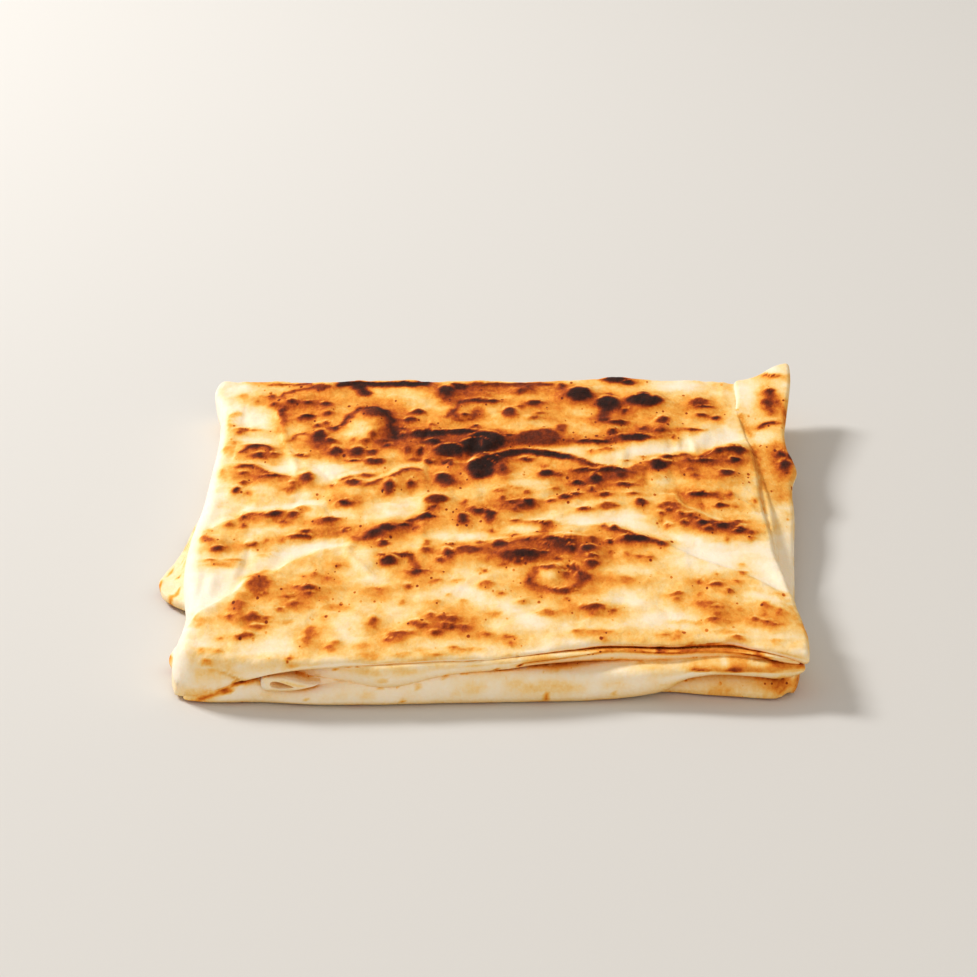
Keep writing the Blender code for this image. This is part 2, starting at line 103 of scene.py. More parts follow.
INNER_FRONT = [(-0.080, -0.1150), (-0.073, -0.1165), (-0.066, -0.1185), (-0.058, -0.1218),
               (-0.030, -0.1206), (0.000, -0.1180), (0.020, -0.1140), (0.036, -0.1108), (0.050, -0.1126),
               (0.078, -0.1122), (0.092, -0.1150), (0.105, -0.1190)]
INNER_BACK = [(-0.080, 0.1280), (-0.020, 0.1306), (0.040, 0.1288), (0.104, 0.1276)]
INNER_LEFT = [(-0.120, -0.0800), (-0.100, -0.0830), (-0.080, -0.0950), (-0.060, -0.1000),
              (-0.040, -0.1010), (0.040, -0.1010), (0.131, -0.1010)]
INNER_RIGHT = [(-0.120, 0.1045), (-0.105, 0.1055), (-0.060, 0.1020), (-0.030, 0.1022),
               (0.010, 0.1032), (0.040, 0.1022), (0.060, 0.1010), (0.080, 0.0995), (0.131, 0.0995)]

ROLL_FRONT = [(-0.103, -0.1185), (-0.095, -0.1204), (-0.070, -0.1212), (-0.056, -0.1226),
              (-0.020, -0.1222), (0.020, -0.1206), (0.060, -0.1186), (0.090, -0.1186), (0.104, -0.1170)]
ROLL_BACK_Y = -0.095  # hidden inside the bread
POCKET_DEPTH = 0.0090  # of the opening under the roll's raised right part

BASE_FRONT = [(-0.104, -0.1130), (-0.080, -0.1170), (0.000, -0.1165), (0.030, -0.1145),
              (0.050, -0.1126), (0.060, -0.1126), (0.070, -0.1144), (0.083, -0.1164),
              (0.092, -0.1182), (0.104, -0.1192)]
BASE_BACK = [(-0.104, 0.1260), (-0.050, 0.1286), (0.010, 0.1266), (0.060, 0.1290), (0.104, 0.1258)]
BASE_LEFT = [(-0.120, -0.1020), (-0.106, -0.1076), (-0.100, -0.1098), (-0.092, -0.1076),
             (-0.084, -0.1050), (-0.076, -0.1066), (-0.066, -0.1050), (-0.050, -0.1060),
             (0.000, -0.1062), (0.060, -0.1040), (0.131, -0.1060)]
BASE_RIGHT = [(-0.120, 0.1040), (-0.105, 0.1042), (-0.085, 0.1036), (-0.065, 0.1052),
              (-0.045, 0.1040), (0.020, 0.1056), (0.080, 0.1040), (0.131, 0.1060)]

STRIP_RIGHT = [(-0.075, 0.1040), (-0.050, 0.1064), (-0.020, 0.1088), (0.013, 0.1116),
               (0.025, 0.1120), (0.034, 0.1130), (0.043, 0.1152), (0.051, 0.1146),
               (0.058, 0.1132), (0.071, 0.1129), (0.087, 0.1148), (0.105, 0.1174),
               (0.120, 0.1194), (0.131, 0.1204)]
STRIP_LEFT = [(-0.075, 0.0885), (0.070, 0.0885), (0.085, 0.0900), (0.100, 0.0950), (0.131, 0.0962)]
STRIP_FRONT_Y = -0.075
STRIP_BACK = [(0.0885, 0.1270), (0.0985, 0.1285), (0.104, 0.1318), (0.112, 0.1330), (0.120, 0.1325)]

TAB_FRONT = [(-0.1185, -0.0350), (-0.1168, -0.0415), (-0.1135, -0.0468), (-0.1086, -0.0518),
             (-0.092, -0.0560)]
TAB_BACK = [(-0.1185, -0.0335), (-0.1170, -0.0260), (-0.1142, -0.0160), (-0.1115, -0.0020),
            (-0.1100, 0.0120), (-0.1065, 0.0200), (-0.092, 0.0240)]

# Levels along the front, z at x: the lower lip of each layer
TOP_LIP = [(-0.104, 0.0002), (-0.098, 0.0022), (-0.090, 0.0055), (-0.085, 0.0080),
           (-0.080, 0.0100), (-0.070, 0.0122), (-0.055, 0.0134), (-0.030, 0.0142),
           (0.000, 0.0150), (0.036, 0.0158), (0.080, 0.0157), (0.096, 0.0146), (0.105, 0.0120)]
INNER_LIP = [(-0.080, 0.0075), (-0.072, 0.0052), (-0.060, 0.0052), (-0.050, 0.0070),
             (-0.030, 0.0076), (-0.015, 0.0106), (0.000, 0.0118), (0.020, 0.0127),
             (0.036, 0.0137), (0.050, 0.0127), (0.064, 0.0123), (0.080, 0.0133), (0.104, 0.0118)]
ROLL_LIP = [(-0.102, 0.0), (0.022, 0.0), (0.034, 0.0), (0.049, 0.0012), (0.058, 0.0032),
            (0.064, 0.0072), (0.070, 0.0088), (0.088, 0.0084), (0.096, 0.0072), (0.104, 0.0085)]
ROLL_TOP = [(-0.102, 0.0030), (-0.095, 0.0052), (-0.085, 0.0090), (-0.078, 0.0095),
            (-0.070, 0.0066), (-0.060, 0.0064), (-0.050, 0.0080), (-0.030, 0.0088),
            (-0.015, 0.0110), (0.000, 0.0116), (0.016, 0.0114), (0.026, 0.0106), (0.036, 0.0105),
            (0.046, 0.0110), (0.058, 0.0124), (0.080, 0.0136), (0.104, 0.0124)]
# Edges of thin layers that lie over a front face, z at x, and how far the face is set back below
CORNER_EDGE = [(-0.101, 0.0138), (-0.0954, 0.0130), (-0.089, 0.0123), (-0.0858, 0.0110),
               (-0.0815, 0.0096), (-0.0775, 0.0093), (-0.0740, 0.0100)]
TURNED_EDGE = [(-0.110, 0.0064), (-0.100, 0.0058), (-0.092, 0.0064)]
INNER_EDGE = [(0.000, 0.0140), (0.020, 0.0150), (0.050, 0.0154), (0.080, 0.0153), (0.088, 0.0148),
              (0.096, 0.0130), (0.104, 0.0120)]
CORNER_STEP, TURNED_STEP, INNER_STEP = 0.0016, 0.0010, 0.0012
CORNER_START, TURNED_START, INNER_START = (-0.0985, -0.0925), (-0.112, -0.110), (0.004, 0.016)
CORNER_END, TURNED_END, INNER_END = (-0.0850, -0.0790), (-0.0950, -0.0910), (0.103, 0.106)
WOBBLE = 0.0003  # how far the layers' front edges wander
# The strip's level beside the top sheet and at its outer edge, z at y
STRIP_NEAR = [(-0.075, 0.0086), (-0.020, 0.0122), (0.020, 0.0144), (0.060, 0.0157),
              (0.082, 0.0163), (0.100, 0.0182), (0.131, 0.0180)]
STRIP_FAR = [(-0.075, 0.0060), (-0.050, 0.0080), (-0.020, 0.0100), (0.013, 0.0126),
             (0.034, 0.0134), (0.046, 0.0146), (0.060, 0.0164), (0.087, 0.0180),
             (0.105, 0.0198), (0.120, 0.0216), (0.131, 0.0236)]

# Folds of the top sheet, on the plan in millimetres. Each runs along a line, y at x; in front of it
# the dough stands proud. rise: height of the crest. slack: depth of the hollow behind it.
# pale: how far behind the crest the griddle didn't reach, at x.
FOLDS = [
    {"rise": 1.8, "slack": 1.2, "pale": [(-16, 3), (0, 3), (12, 3), (26, 5), (36, 14), (48, 20),
                                         (60, 18), (72, 14), (80, 20), (97, 5)],
     "line": [(-18, 45), (-13, 44), (-9, 45), (-4, 52), (1, 53), (5, 56), (12, 58.5), (20, 56.5),
              (28, 54), (35, 48), (40, 42.5), (46, 41), (50, 39), (55, 43.5), (61, 48), (67, 52),
              (72.5, 55), (75, 52.5), (77, 50), (81, 52), (87, 59), (93, 65), (98, 67.5)]},
    {"rise": 1.5, "slack": 0.9, "pale": [(12, 3), (20, 3), (30, 9), (50, 12), (65, 17), (80, 22),
                                         (90, 26), (104, 30)],
     "line": [(10, -9.5), (17.4, -8.5), (23, -10.5), (30, -12.5), (40, -12.5), (45, -14.5),
              (50, -18.5), (55, -22), (60, -25), (65, -32), (70, -38), (75, -43), (80, -47),
              (87, -52.5), (95, -62), (99, -67), (104, -69)]},
    {"rise": 1.5, "slack": 1.0, "pale": [(-104, 26), (-92, 24), (-80, 16), (-70, 10), (-55, 8)],
     "line": [(-106, -97), (-102, -90), (-100, -85), (-96, -79), (-92, -73), (-87.6, -67),
              (-85.6, -62), (-82, -57.5), (-77, -53), (-70, -43), (-65, -38), (-62, -34.5),
              (-56, -31.5), (-52, -30.5)]},
    {"rise": 0.9, "slack": 0.5, "pale": [(-100, 4), (-88, 5), (-72, 6), (-60, 6)],
     "line": [(-102, -17), (-99.6, -14), (-96, -9), (-92, -7), (-88, -1.5), (-82, -0.5), (-78, 0.5),
              (-72, 2), (-69, 5), (-65, 5), (-62, 3), (-60, -1)]},
    {"rise": 0.8, "slack": 0.5, "pale": [(-98, 5), (-90, 7), (-82, 6)],
     "line": [(-98, 45), (-97, 50), (-95, 57), (-90.6, 62.5), (-86, 61), (-82, 56), (-80, 52)]},
    {"rise": 0.6, "slack": 0.4, "pale": [(-96, 4), (-86, 6), (-74, 8)],
     "line": [(-97, 41), (-94, 42), (-90, 43), (-86, 38), (-79, 34), (-74, 30.5)]},
    {"rise": 1.0, "slack": 0.6, "pale": [(-50, 4), (-36, 4), (-25, 4)],
     "line": [(-52, 19), (-48, 23), (-42, 29), (-38, 32), (-36, 35), (-33, 39), (-30, 40.5),
              (-27, 39), (-25, 33), (-24, 26)]},
    {"rise": 0.6, "slack": 0.3, "pale": [(-58, 3), (-43, 3)],
     "line": [(-58, 24), (-56, 29), (-52, 33), (-48, 34), (-45, 34), (-43, 31)]},
    {"rise": 0.7, "slack": 0.5, "pale": [(66, 2), (90, 3)],
     "line": [(64, 15), (67, 12), (69, 6), (74, 0), (80, -7), (85, -10), (92, -13)]},
    {"rise": 0.6, "slack": 0.3, "pale": [(-2, 3), (32, 2)],
     "line": [(-4, -27), (0, -25.5), (10, -23), (20, -20.5), (30, -20.5), (33, -22)]},
    {"rise": 0.5, "slack": 0.3, "pale": [(88, 5), (104, 8)],
     "line": [(88, -72), (93, -76), (99, -82), (103.5, -88)]},
]
CREST_FALL, SLACK_OFFSET, SLACK_REACH = 0.0026, 0.0075, 0.0055  # behind the line
FOLD_END = 0.005  # a fold dies out over this length at its ends

# Ridges and creases that run from front to back, on the plan: x at y, height and half-width
RIDGES = [
    {"height": 0.8, "half": 1.5, "line": [(22, -74), (25, -74), (29, -73), (39, -73.6), (47, -75),
                                          (56, -77.6), (70, -79.6), (88, -82), (96, -84)]},
    {"height": -0.5, "half": 1.0, "line": [(22, -58), (24, -58.6), (34, -62), (39, -65), (42, -67)]},
    {"height": -0.3, "half": 0.8, "line": [(58, 72.4), (62, 72.6), (66, 73.2), (69, 73.5)]},
    {"height": 0.9, "half": 1.6, "line": [(-56, -42), (-50, -45.5), (-42, -50), (-34, -51),
                                          (-27, -49)]},
    {"height": 0.5, "half": 1.2, "line": [(-1, 96), (3, 95), (12.5, 89), (18, 86)]},
    {"height": -0.4, "half": 0.8, "line": [(90, -16.6), (98, -14.5), (107, -11.5)]},
    {"height": -0.5, "half": 0.9, "line": [(24, 59), (32, 58), (42, 59.5), (46, 60)]},
]

# Domes that steam raised and dips between them, on the plan: x, y, radii along x and y, height
DOMES = [
    (-48, 80, 10, 17, 1.5), (-33, 28, 8, 11, 0.7), (-45, -42, 6, 10, 1.0), (-36.5, -43, 4, 6, 0.6),
    (21, -54, 5, 7, 1.0), (-54, 12, 7, 9, 0.8), (-92, 88, 10, 15, -0.7), (10, 86, 12, 12, 0.8),
    (60, 104, 14, 14, 1.0), (-14, 92, 8, 10, 0.8), (-30, 112, 12, 10, 0.6), (34, 110, 9, 10, 0.7),
    (-78, 106, 9, 8, 0.8), (-64, 118, 7, 8, 0.6), (12, 24, 12, 10, 0.7), (84, 28, 11, 12, 0.7),
    (30, 44, 12, 9, 0.6), (-88, 54, 8, 6, 0.5), (-68, 30, 4, 8, 0.6), (-20, 10, 6, 7, 0.6),
    (-38, -16, 8, 10, 0.7), (-10, -40, 9, 8, 0.6), (8, -38, 9, 8, 0.7), (34, -42, 6, 12, 0.6),
    (-62, -66, 9, 9, 0.7), (-80, -86, 9, 10, 0.7), (-22, -92, 10, 10, 0.6), (76, -80, 9, 12, 0.6),
    (36, -78, 7, 6, 0.5), (-46, -92, 8, 10, 0.5), (-98, -30, 6, 8, 0.7), (-86, -28, 4, 5, 0.5),
    (-10, -72, 11, 8, -0.4), (60, -92, 14, 8, -0.4), (82, -34, 13, 9, -0.5), (10, -96, 9, 8, 0.4),
    (-62, 92, 6, 9, 0.5), (44, 84, 8, 8, 0.5), (66, 80, 6, 9, 0.5), (-30, 60, 9, 8, 0.6),
]
DOME_LIFT, FOLD_LIFT = 1.6, 1.25  # domes and folds stand this much higher than in the plain solid
# Unevenness of the face, height and length
RIPPLE, RIPPLE_LENGTH = 0.0005, 0.024
PUCKER, PUCKER_LENGTH = 0.00058, 0.0082
CRINKLE, CRINKLE_LENGTH = 0.00020, 0.0032
# Thin creases: spacing, seed, narrowness, depth
WRINKLES = [(0.030, 70.0, 0.060, 0.00026), (0.014, 74.0, 0.070, 0.00014), (0.0080, 78.0, 0.10, 0.00008)]
SCATTERED_DOMES = 260  # small blisters all over the face
SCATTER_RADII, SCATTER_RISES = (0.0016, 0.0042), (0.00012, 0.00038)
BLISTER_LOW, BLISTER_SHARE, BLISTER_HIGH = 0.32, 0.24, 1.25  # millimetres proud, by a mark's radius

# Toast marks on the plan, in millimetres: x, y, radius, and the radius along y where it differs
CHARRED = [
    (-34, 125, 5, 2), (-71.3, 91, 2.2), (-60, 78.5, 1.2), (-22, 74, 4, 3), (-12, 75, 9, 2.6),
    (-16, 57, 5, 6), (-6, 61, 6, 8), (-2, 66, 7, 9), (-4, 39, 5, 9), (-1, 48, 4, 4),
    (-94.3, 19, 1.2, 2.5), (35, 114, 5, 7), (46, 104, 4.5, 7), (60.5, 107.5, 7, 6), (60, 114, 2),
    (50, 129, 5, 3), (55, 126, 2), (55, 69.5, 6.5, 3.5), (39, 65.5, 5.5, 1.8), (87.4, 89, 1.3, 2),
    (63, 43, 3, 5), (92, 47.5, 2, 2.5), (20.4, 35, 2.5, 3), (39, 30, 2, 3.6), (32, 25.5, 2),
    (-53.6, 8, 2.4, 2.8), (13.5, 8.5, 2, 2.5), (51, -24, 4.5, 3.2), (76.4, -10, 1.8, 2.3),
    (83.4, -12, 1.8), (90.2, -15.5, 1.2, 2), (-36.6, -43, 2.8, 4.2), (-38.3, -37, 0.8),
    (-62.6, -65, 2.6, 2.2), (28, -25.5, 0.8, 1.5), (28.4, -32, 0.6, 1.5), (34, -80, 3.6, 2.2),
    (36.4, -78.5, 1.2), (-31.6, -11.5, 1.4),
]
DARK = [
    (-18, 116, 3, 6), (-13.5, 122, 4, 3), (-5, 107, 5, 2), (-78.6, 106, 1.5, 2.2), (-72, 105.5, 1.4),
    (-65, 103.5, 2), (-64, 94, 1.5, 2), (-64, 83.5, 0.8, 1.4), (-67.3, 81, 0.7, 1.6),
    (-66, 71, 2.3, 5), (-61.6, 66, 1.5, 2), (-39.6, 61, 1.2, 2), (-45.6, 55, 1, 1.6),
    (-59, 56, 2, 4), (-51, 56, 2.6, 4), (-71.6, 52, 2, 1.5), (-90.5, 61, 3.2, 1.8),
    (-88.5, 52, 2, 3), (-82.6, 53, 0.9, 1.6), (-52, 47, 2, 1.2), (-44, 46, 3.2, 3.6),
    (-23.6, 46, 1.4), (-16, 44.5, 2, 3), (-27, 56, 1, 3), (-22, 65, 3, 2.2), (-27, 73, 4, 3.4),
    (-34.6, 78, 0.8), (-34.3, 71.5, 0.7, 1.6), (-29, 95, 2.8, 2.4), (-31.6, 87, 2.4, 2),
    (-10.3, 92, 1.2, 1.8), (-6.3, 80, 1.5), (-18, 31, 2.8, 4), (-38, 22, 2, 6), (-30, 25, 0.9, 3),
    (-51, 26, 3, 3), (-69, 31, 2.4, 5), (-82, 32.5, 2, 1.4), (-92.6, 35.5, 0.9), (-92.3, 26, 0.9),
    (-74, 26, 0.6, 1), (-58.6, 23, 0.6), (28, 122, 1.2, 2), (17, 104.5, 3.2, 2.8), (1, 106.5, 2.4, 1.8),
    (7, 94, 2.6, 5), (52.4, 96.5, 0.8, 1.6), (49, 84.5, 3.4, 1.8), (66.5, 87, 2.4, 3), (47, 75, 2, 2.4),
    (7, 72, 1.4), (38, 55.5, 0.8, 1.4), (51.4, 47, 0.8), (57.4, 51, 0.8), (13, 48, 2, 2),
    (78, 77.5, 3.4, 1.4), (82, 91.5, 1.8, 1.4), (84, 100.5, 1.8, 1), (70, 69.5, 0.5, 1.3),
    (66.5, 51, 1.8), (67.4, 44.5, 0.9, 1.4), (80, 47, 2.8, 1.4), (92.4, 58, 3.6, 2.8),
    (88, 35, 2.2, 2.8), (35, 38, 4.4, 1.8), (43, 38, 2.6), (37, 20, 0.8, 1.4), (49.4, 24, 3.2, 1.5),
    (42, 15.5, 2), (31, 15.5, 1.8), (52, 16, 1.4), (27, 12.5, 2.4), (73.4, 15.5, 1.1),
    (77.4, 16, 2, 1.4), (84, 5.5, 1.9), (-20, 11, 4, 3.8), (-23.6, -4, 2.3), (-38, -14, 2.8, 2.6),
    (-38.6, -28, 1.9, 2.5), (-10.3, -6.5, 1.8, 4), (-6.6, 2.5, 1.4), (-4, 0, 2.6, 2.2),
    (-0.6, -4, 1.8, 5), (8, 9, 1.2), (8.4, -8, 1), (21.5, 9.5, 1.2), (0.4, -17.5, 0.5, 1),
    (8, -20.5, 0.9), (33.5, 2, 2.4, 1.8), (54.7, 8.5, 1.7, 3), (19, -9, 2.8, 1.4), (40.4, -12.5, 0.5, 1),
    (44.4, -14.5, 1.4), (65, 1, 1, 1.4), (61.4, -2.5, 0.9, 1.4), (69, -2, 0.9, 1.6), (72, -3.5, 0.9, 1.6),
    (63.6, -12.5, 1.1, 2), (70, -10, 0.5, 1.3), (77.7, -15.5, 1.1, 2), (88.4, -17, 1.1),
    (88.4, -9, 0.9), (-58, -7, 2.8, 2), (-67, -18, 1.8, 2), (-68, -22, 4.4, 1.8), (-79.6, -2.5, 2.6, 2.4),
    (-72, -2.5, 1.3, 2), (-90, -5, 0.6, 1), (-97.6, -32, 1.9, 2), (-85.6, -29, 2, 2.6),
    (-99.6, -42, 1.1), (-53, -18, 0.6, 1), (-32, -37, 2.4, 1.5), (-25.6, -51.5, 2.8, 1.5),
    (-15.6, -36.5, 1.5, 3.6), (-14.6, -28.5, 0.9), (-4, -26.5, 0.8), (-18, -42, 0.9, 1.6),
    (-78.6, -70.5, 0.9), (-67.4, -63.5, 0.6), (-63, -69.5, 1.4), (-70.3, -71, 1.2), (-68, -77.5, 1.3, 2),
    (-72, -82, 0.7, 1.1), (-89.6, -87, 1, 1.4), (-80.6, -87.5, 2, 3), (-79, -95, 2.3, 1.4),
    (-76.8, -88, 0.8), (-82.6, -102.5, 3, 2.3), (-66.6, -118.5, 0.6, 1), (-40, -91, 1.6, 4),
    (-39.3, -65.5, 0.8), (-29, -63.5, 0.7, 1.2), (-19, -59, 0.6), (-2.6, -50.5, 0.7),
    (-21, -86, 1.2, 1.6), (-17, -88, 1.3, 2), (-13, -89, 1.8, 1.6), (-26, -92, 1.8, 2.4),
    (-23, -94, 1.1, 1.5), (-15, -94, 1.8, 2), (-13, -95.5, 1.1), (-9, -96, 0.9, 1.3), (-18.6, -99.5, 2.2, 2),
    (-30, -99.5, 2.4, 1.2), (-35, -105, 0.6, 1), (-2, -100, 1.1), (22, -23.5, 2.8, 1.5), (13, -24, 0.7),
    (20, -29, 1.1), (3, -28, 2.6, 2.6), (12, -36, 4.4, 2.6), (18.6, -35.5, 0.9), (9.6, -43, 1.1),
    (23.2, -40.5, 0.8), (34.4, -32, 2.3, 2.8), (35.4, -39, 1.4), (35, -45.5, 1.8, 3.4), (42, -26.5, 1.4),
    (20, -47.5, 2.8, 1.6), (25, -67, 3.6, 2), (28.7, -47, 0.6, 1), (26, -53.5, 0.7, 1.4),
    (3.2, -68.5, 0.6, 0.9), (41.6, -82.5, 0.5, 1), (76.4, -79, 0.9), (75, -89.5, 1.5, 1.6),
    (64, -69.5, 1.7, 1.1), (72.4, -59.5, 0.8, 1.2), (78, -62, 1.8, 1.9), (82, -67, 0.9, 1.8),
    (87.4, -52.5, 0.8, 1), (89, -89.5, 1.1), (93, -90.5, 1.1), (95.4, -93, 0.9), (82.4, -104, 1.5, 1.8),
    (110.6, 117, 1.5, 2.6), (109.5, 53, 0.9, 2.2), (113, 51, 0.7, 2.6), (110.5, 41, 1.8, 5),
]
BROWN = [
    (-68, 121, 4, 3), (-6, 124, 4, 2), (-87, 111, 1.6), (-85.6, 103, 1.2, 1.8), (-74, 88.5, 1.6, 2.4),
    (-82, 96, 1, 3), (-45, 94, 5, 4.5), (-53, 67.5, 0.8, 1.4), (-46, 73, 1, 3), (-48.5, 66, 1.4, 2),
    (-42, 65, 2, 2.4), (-95, 77, 4, 1.5), (-97, 74, 1.4, 2), (-29.6, 48, 0.9), (-32, 57, 1.4, 3),
    (-23, 83, 1), (-16, 26, 2.4, 3), (-45.6, 32.5, 1), (-92, 42, 2.8, 1.6), (-86.6, 31, 0.7),
    (-90, 16.5, 0.8, 1.4), (12, 117, 2.4, 3), (15.5, 121, 1.4, 2), (11.5, 101, 1), (19, 94, 1.5),
    (17, 89, 2, 1.2), (47, 113.5, 0.7, 1.4), (44, 87, 2, 1.6), (65, 76, 1.8, 2), (59, 78, 1.4, 2),
    (18.5, 69.5, 8, 8.5), (27, 79, 2, 3), (41.5, 56.5, 0.6, 1), (44.5, 58, 1.5, 1.8), (4.5, 38, 2, 6),
    (82, 105, 3.6, 4), (74.4, 47, 0.9, 2), (86, 56, 0.9, 1.6), (95, 56, 1.8, 2), (74.4, 39, 0.9, 1.4),
    (76, 33, 0.6, 1), (25, 33, 1.4), (20, 42, 0.6, 1), (47, 37, 1.8, 2), (48.4, 33, 1.6, 2),
    (24, 21, 0.9, 1.3), (3, 19, 1.8), (8.4, 22, 0.6), (13, 17, 0.9), (4, 12, 0.9, 1.4), (88, 15, 0.9, 2),
    (89.4, 3.5, 0.8, 1.3), (96.4, 9, 0.6, 1.3), (77, 5.5, 0.5, 1.5), (83.4, 12.5, 0.5, 1),
    (78, 15.5, 5, 2), (-42, -19, 2.6, 3), (-23, -27, 1, 2), (-23, -33.5, 1.8, 2), (-10, 8, 0.9, 1.3),
    (-21, 4, 0.8, 1.4), (11, 5, 1.6), (9, 1.5, 0.9, 1.4), (43, 5, 3.8, 3.4), (60, -27, 3, 1.6),
    (65, 5, 3.6, 3), (61, -9, 0.5, 1), (84.2, -24.5, 0.9, 1.4), (93, -24, 1.3, 1.6), (93.4, -19, 1.3),
    (-74.6, -25.5, 0.7, 1.2), (-80.6, -25.5, 0.6, 1.2), (-94.6, -12.5, 1.4, 2), (-89.6, -13.5, 1, 2),
    (-75.6, -10, 0.8, 1.2), (-102, -25, 2.6, 3), (-91, -42, 2.4, 1.1), (-52, -14.5, 0.8),
    (-8, -33, 4.4, 2.8), (-53.6, -46.5, 0.6, 1), (-62, -53.5, 0.7, 1), (-65.6, -55, 0.5, 1),
    (-57.3, -56.5, 0.6, 1), (-81, -62, 4, 8), (-87, -79, 2.6, 4), (-60.6, -99, 1.8, 3),
    (-62, -106, 2, 4), (-101.3, -86, 0.5, 1), (-91, -104, 0.5, 1), (-96.6, -113, 0.8, 1.1),
    (-91, -113, 1, 1.2), (-94, -122, 1.4, 1.6), (-57, -87.5, 0.5, 1), (-54, -111.5, 1.4, 2),
    (-52, -107.5, 1.4, 1.6), (-30.6, -76, 0.5, 1), (-2, -62, 2.6, 3), (-19, -75.5, 1, 1.2),
    (-14.6, -70.5, 0.5, 1), (-9.6, -75.5, 0.8, 1.4), (-32, -103, 3.6, 4), (-12.6, -111, 0.8),
    (-17.6, -115.5, 1.4, 1), (28, -22, 3, 1.2), (25, -29, 2.8, 4), (10, -38, 7, 5), (4, -46, 1),
    (36, -25, 1.6, 3), (41.7, -35.5, 0.5, 1), (48, -37, 0.5, 1), (55.4, -40, 0.9, 1.3),
    (52, -39, 1.1, 1.6), (32, -56, 2.6, 5), (13, -60, 1.4, 3), (19, -84.5, 2.8, 2.4), (10.4, -75.5, 1.3, 1.6),
    (25.4, -73.5, 0.5, 1), (16.6, -71.5, 0.5, 1), (34.4, -85, 0.9, 1.4), (73, -77, 2.8, 2.4),
    (77, -85.5, 1.2, 1.6), (63.4, -74, 0.9, 1.2), (71.4, -70, 0.5, 1), (78, -54.5, 0.5, 1),
    (85, -59.5, 0.9, 1.2), (88, -46, 0.7, 1.2), (94, -78.5, 1.6, 3), (98, -83.5, 0.9, 2), (93, -86, 0.5, 1),
    (84.4, -82, 0.5, 1), (28.5, -98.5, 1.3, 1.5), (58, -101, 1, 1.2), (62.7, -98.5, 0.7, 1.3),
    (62.7, -102.5, 0.7, 1.3), (37.4, -104.5, 0.8, 1.2), (66.7, -108, 0.6, 1), (5, -103, 0.7, 1),
    (6.4, -102.8, 0.6, 1), (6.7, -108.5, 0.8, 1.2), (113.4, 133, 1.6, 1.2), (108, 103, 1.6, 5),
]
GOLDEN = [
    (-94, 125.5, 4, 2.4), (-98, 111, 2, 2.4), (-92.5, 105.5, 1, 1.8), (-100, 92, 2.4, 2.6),
    (-102.6, 86.5, 1, 1.8), (-101.6, 81, 1.2, 1.8), (-98, 64, 2, 1.6), (-101, 58, 1.8, 3),
    (-101.6, 36, 0.9, 2.2), (-74.6, 19, 2.6, 3), (55, 38, 3, 5), (56, 26, 1.8, 4),
    (-27, -14.5, 1.4, 1.6), (-62, -9, 3, 3), (-69, 1.5, 2.6, 3), (-81, -38.5, 1, 1.4),
    (-102, -17.5, 1, 1.6), (-48, -23, 2, 3), (-58.6, -34, 0.7), (-58, -73, 1.5), (-53, -80, 3.4, 2.6),
    (-98.6, -89.5, 1, 1.3), (-98, -94, 0.8, 1.6), (-43.6, -110, 2.6, 2.4), (-41, -117, 3.6, 2.6),
    (-13, -59, 1.5, 1.2), (-30, -116.5, 3, 1.8), (-24, -112, 1.6), (1, -86, 2.8, 2.4),
    (79.4, -91, 1.1), (79, -99, 3.6, 1.5), (95, -106, 2, 1.6), (-97, -46, 3.4, 1.3),
    (-93, -46, 1.4, 1), (-63, -81, 1.5, 1), (-86, -71, 2, 3), (47, -58, 2, 3), (-5, 94, 3, 6),
]
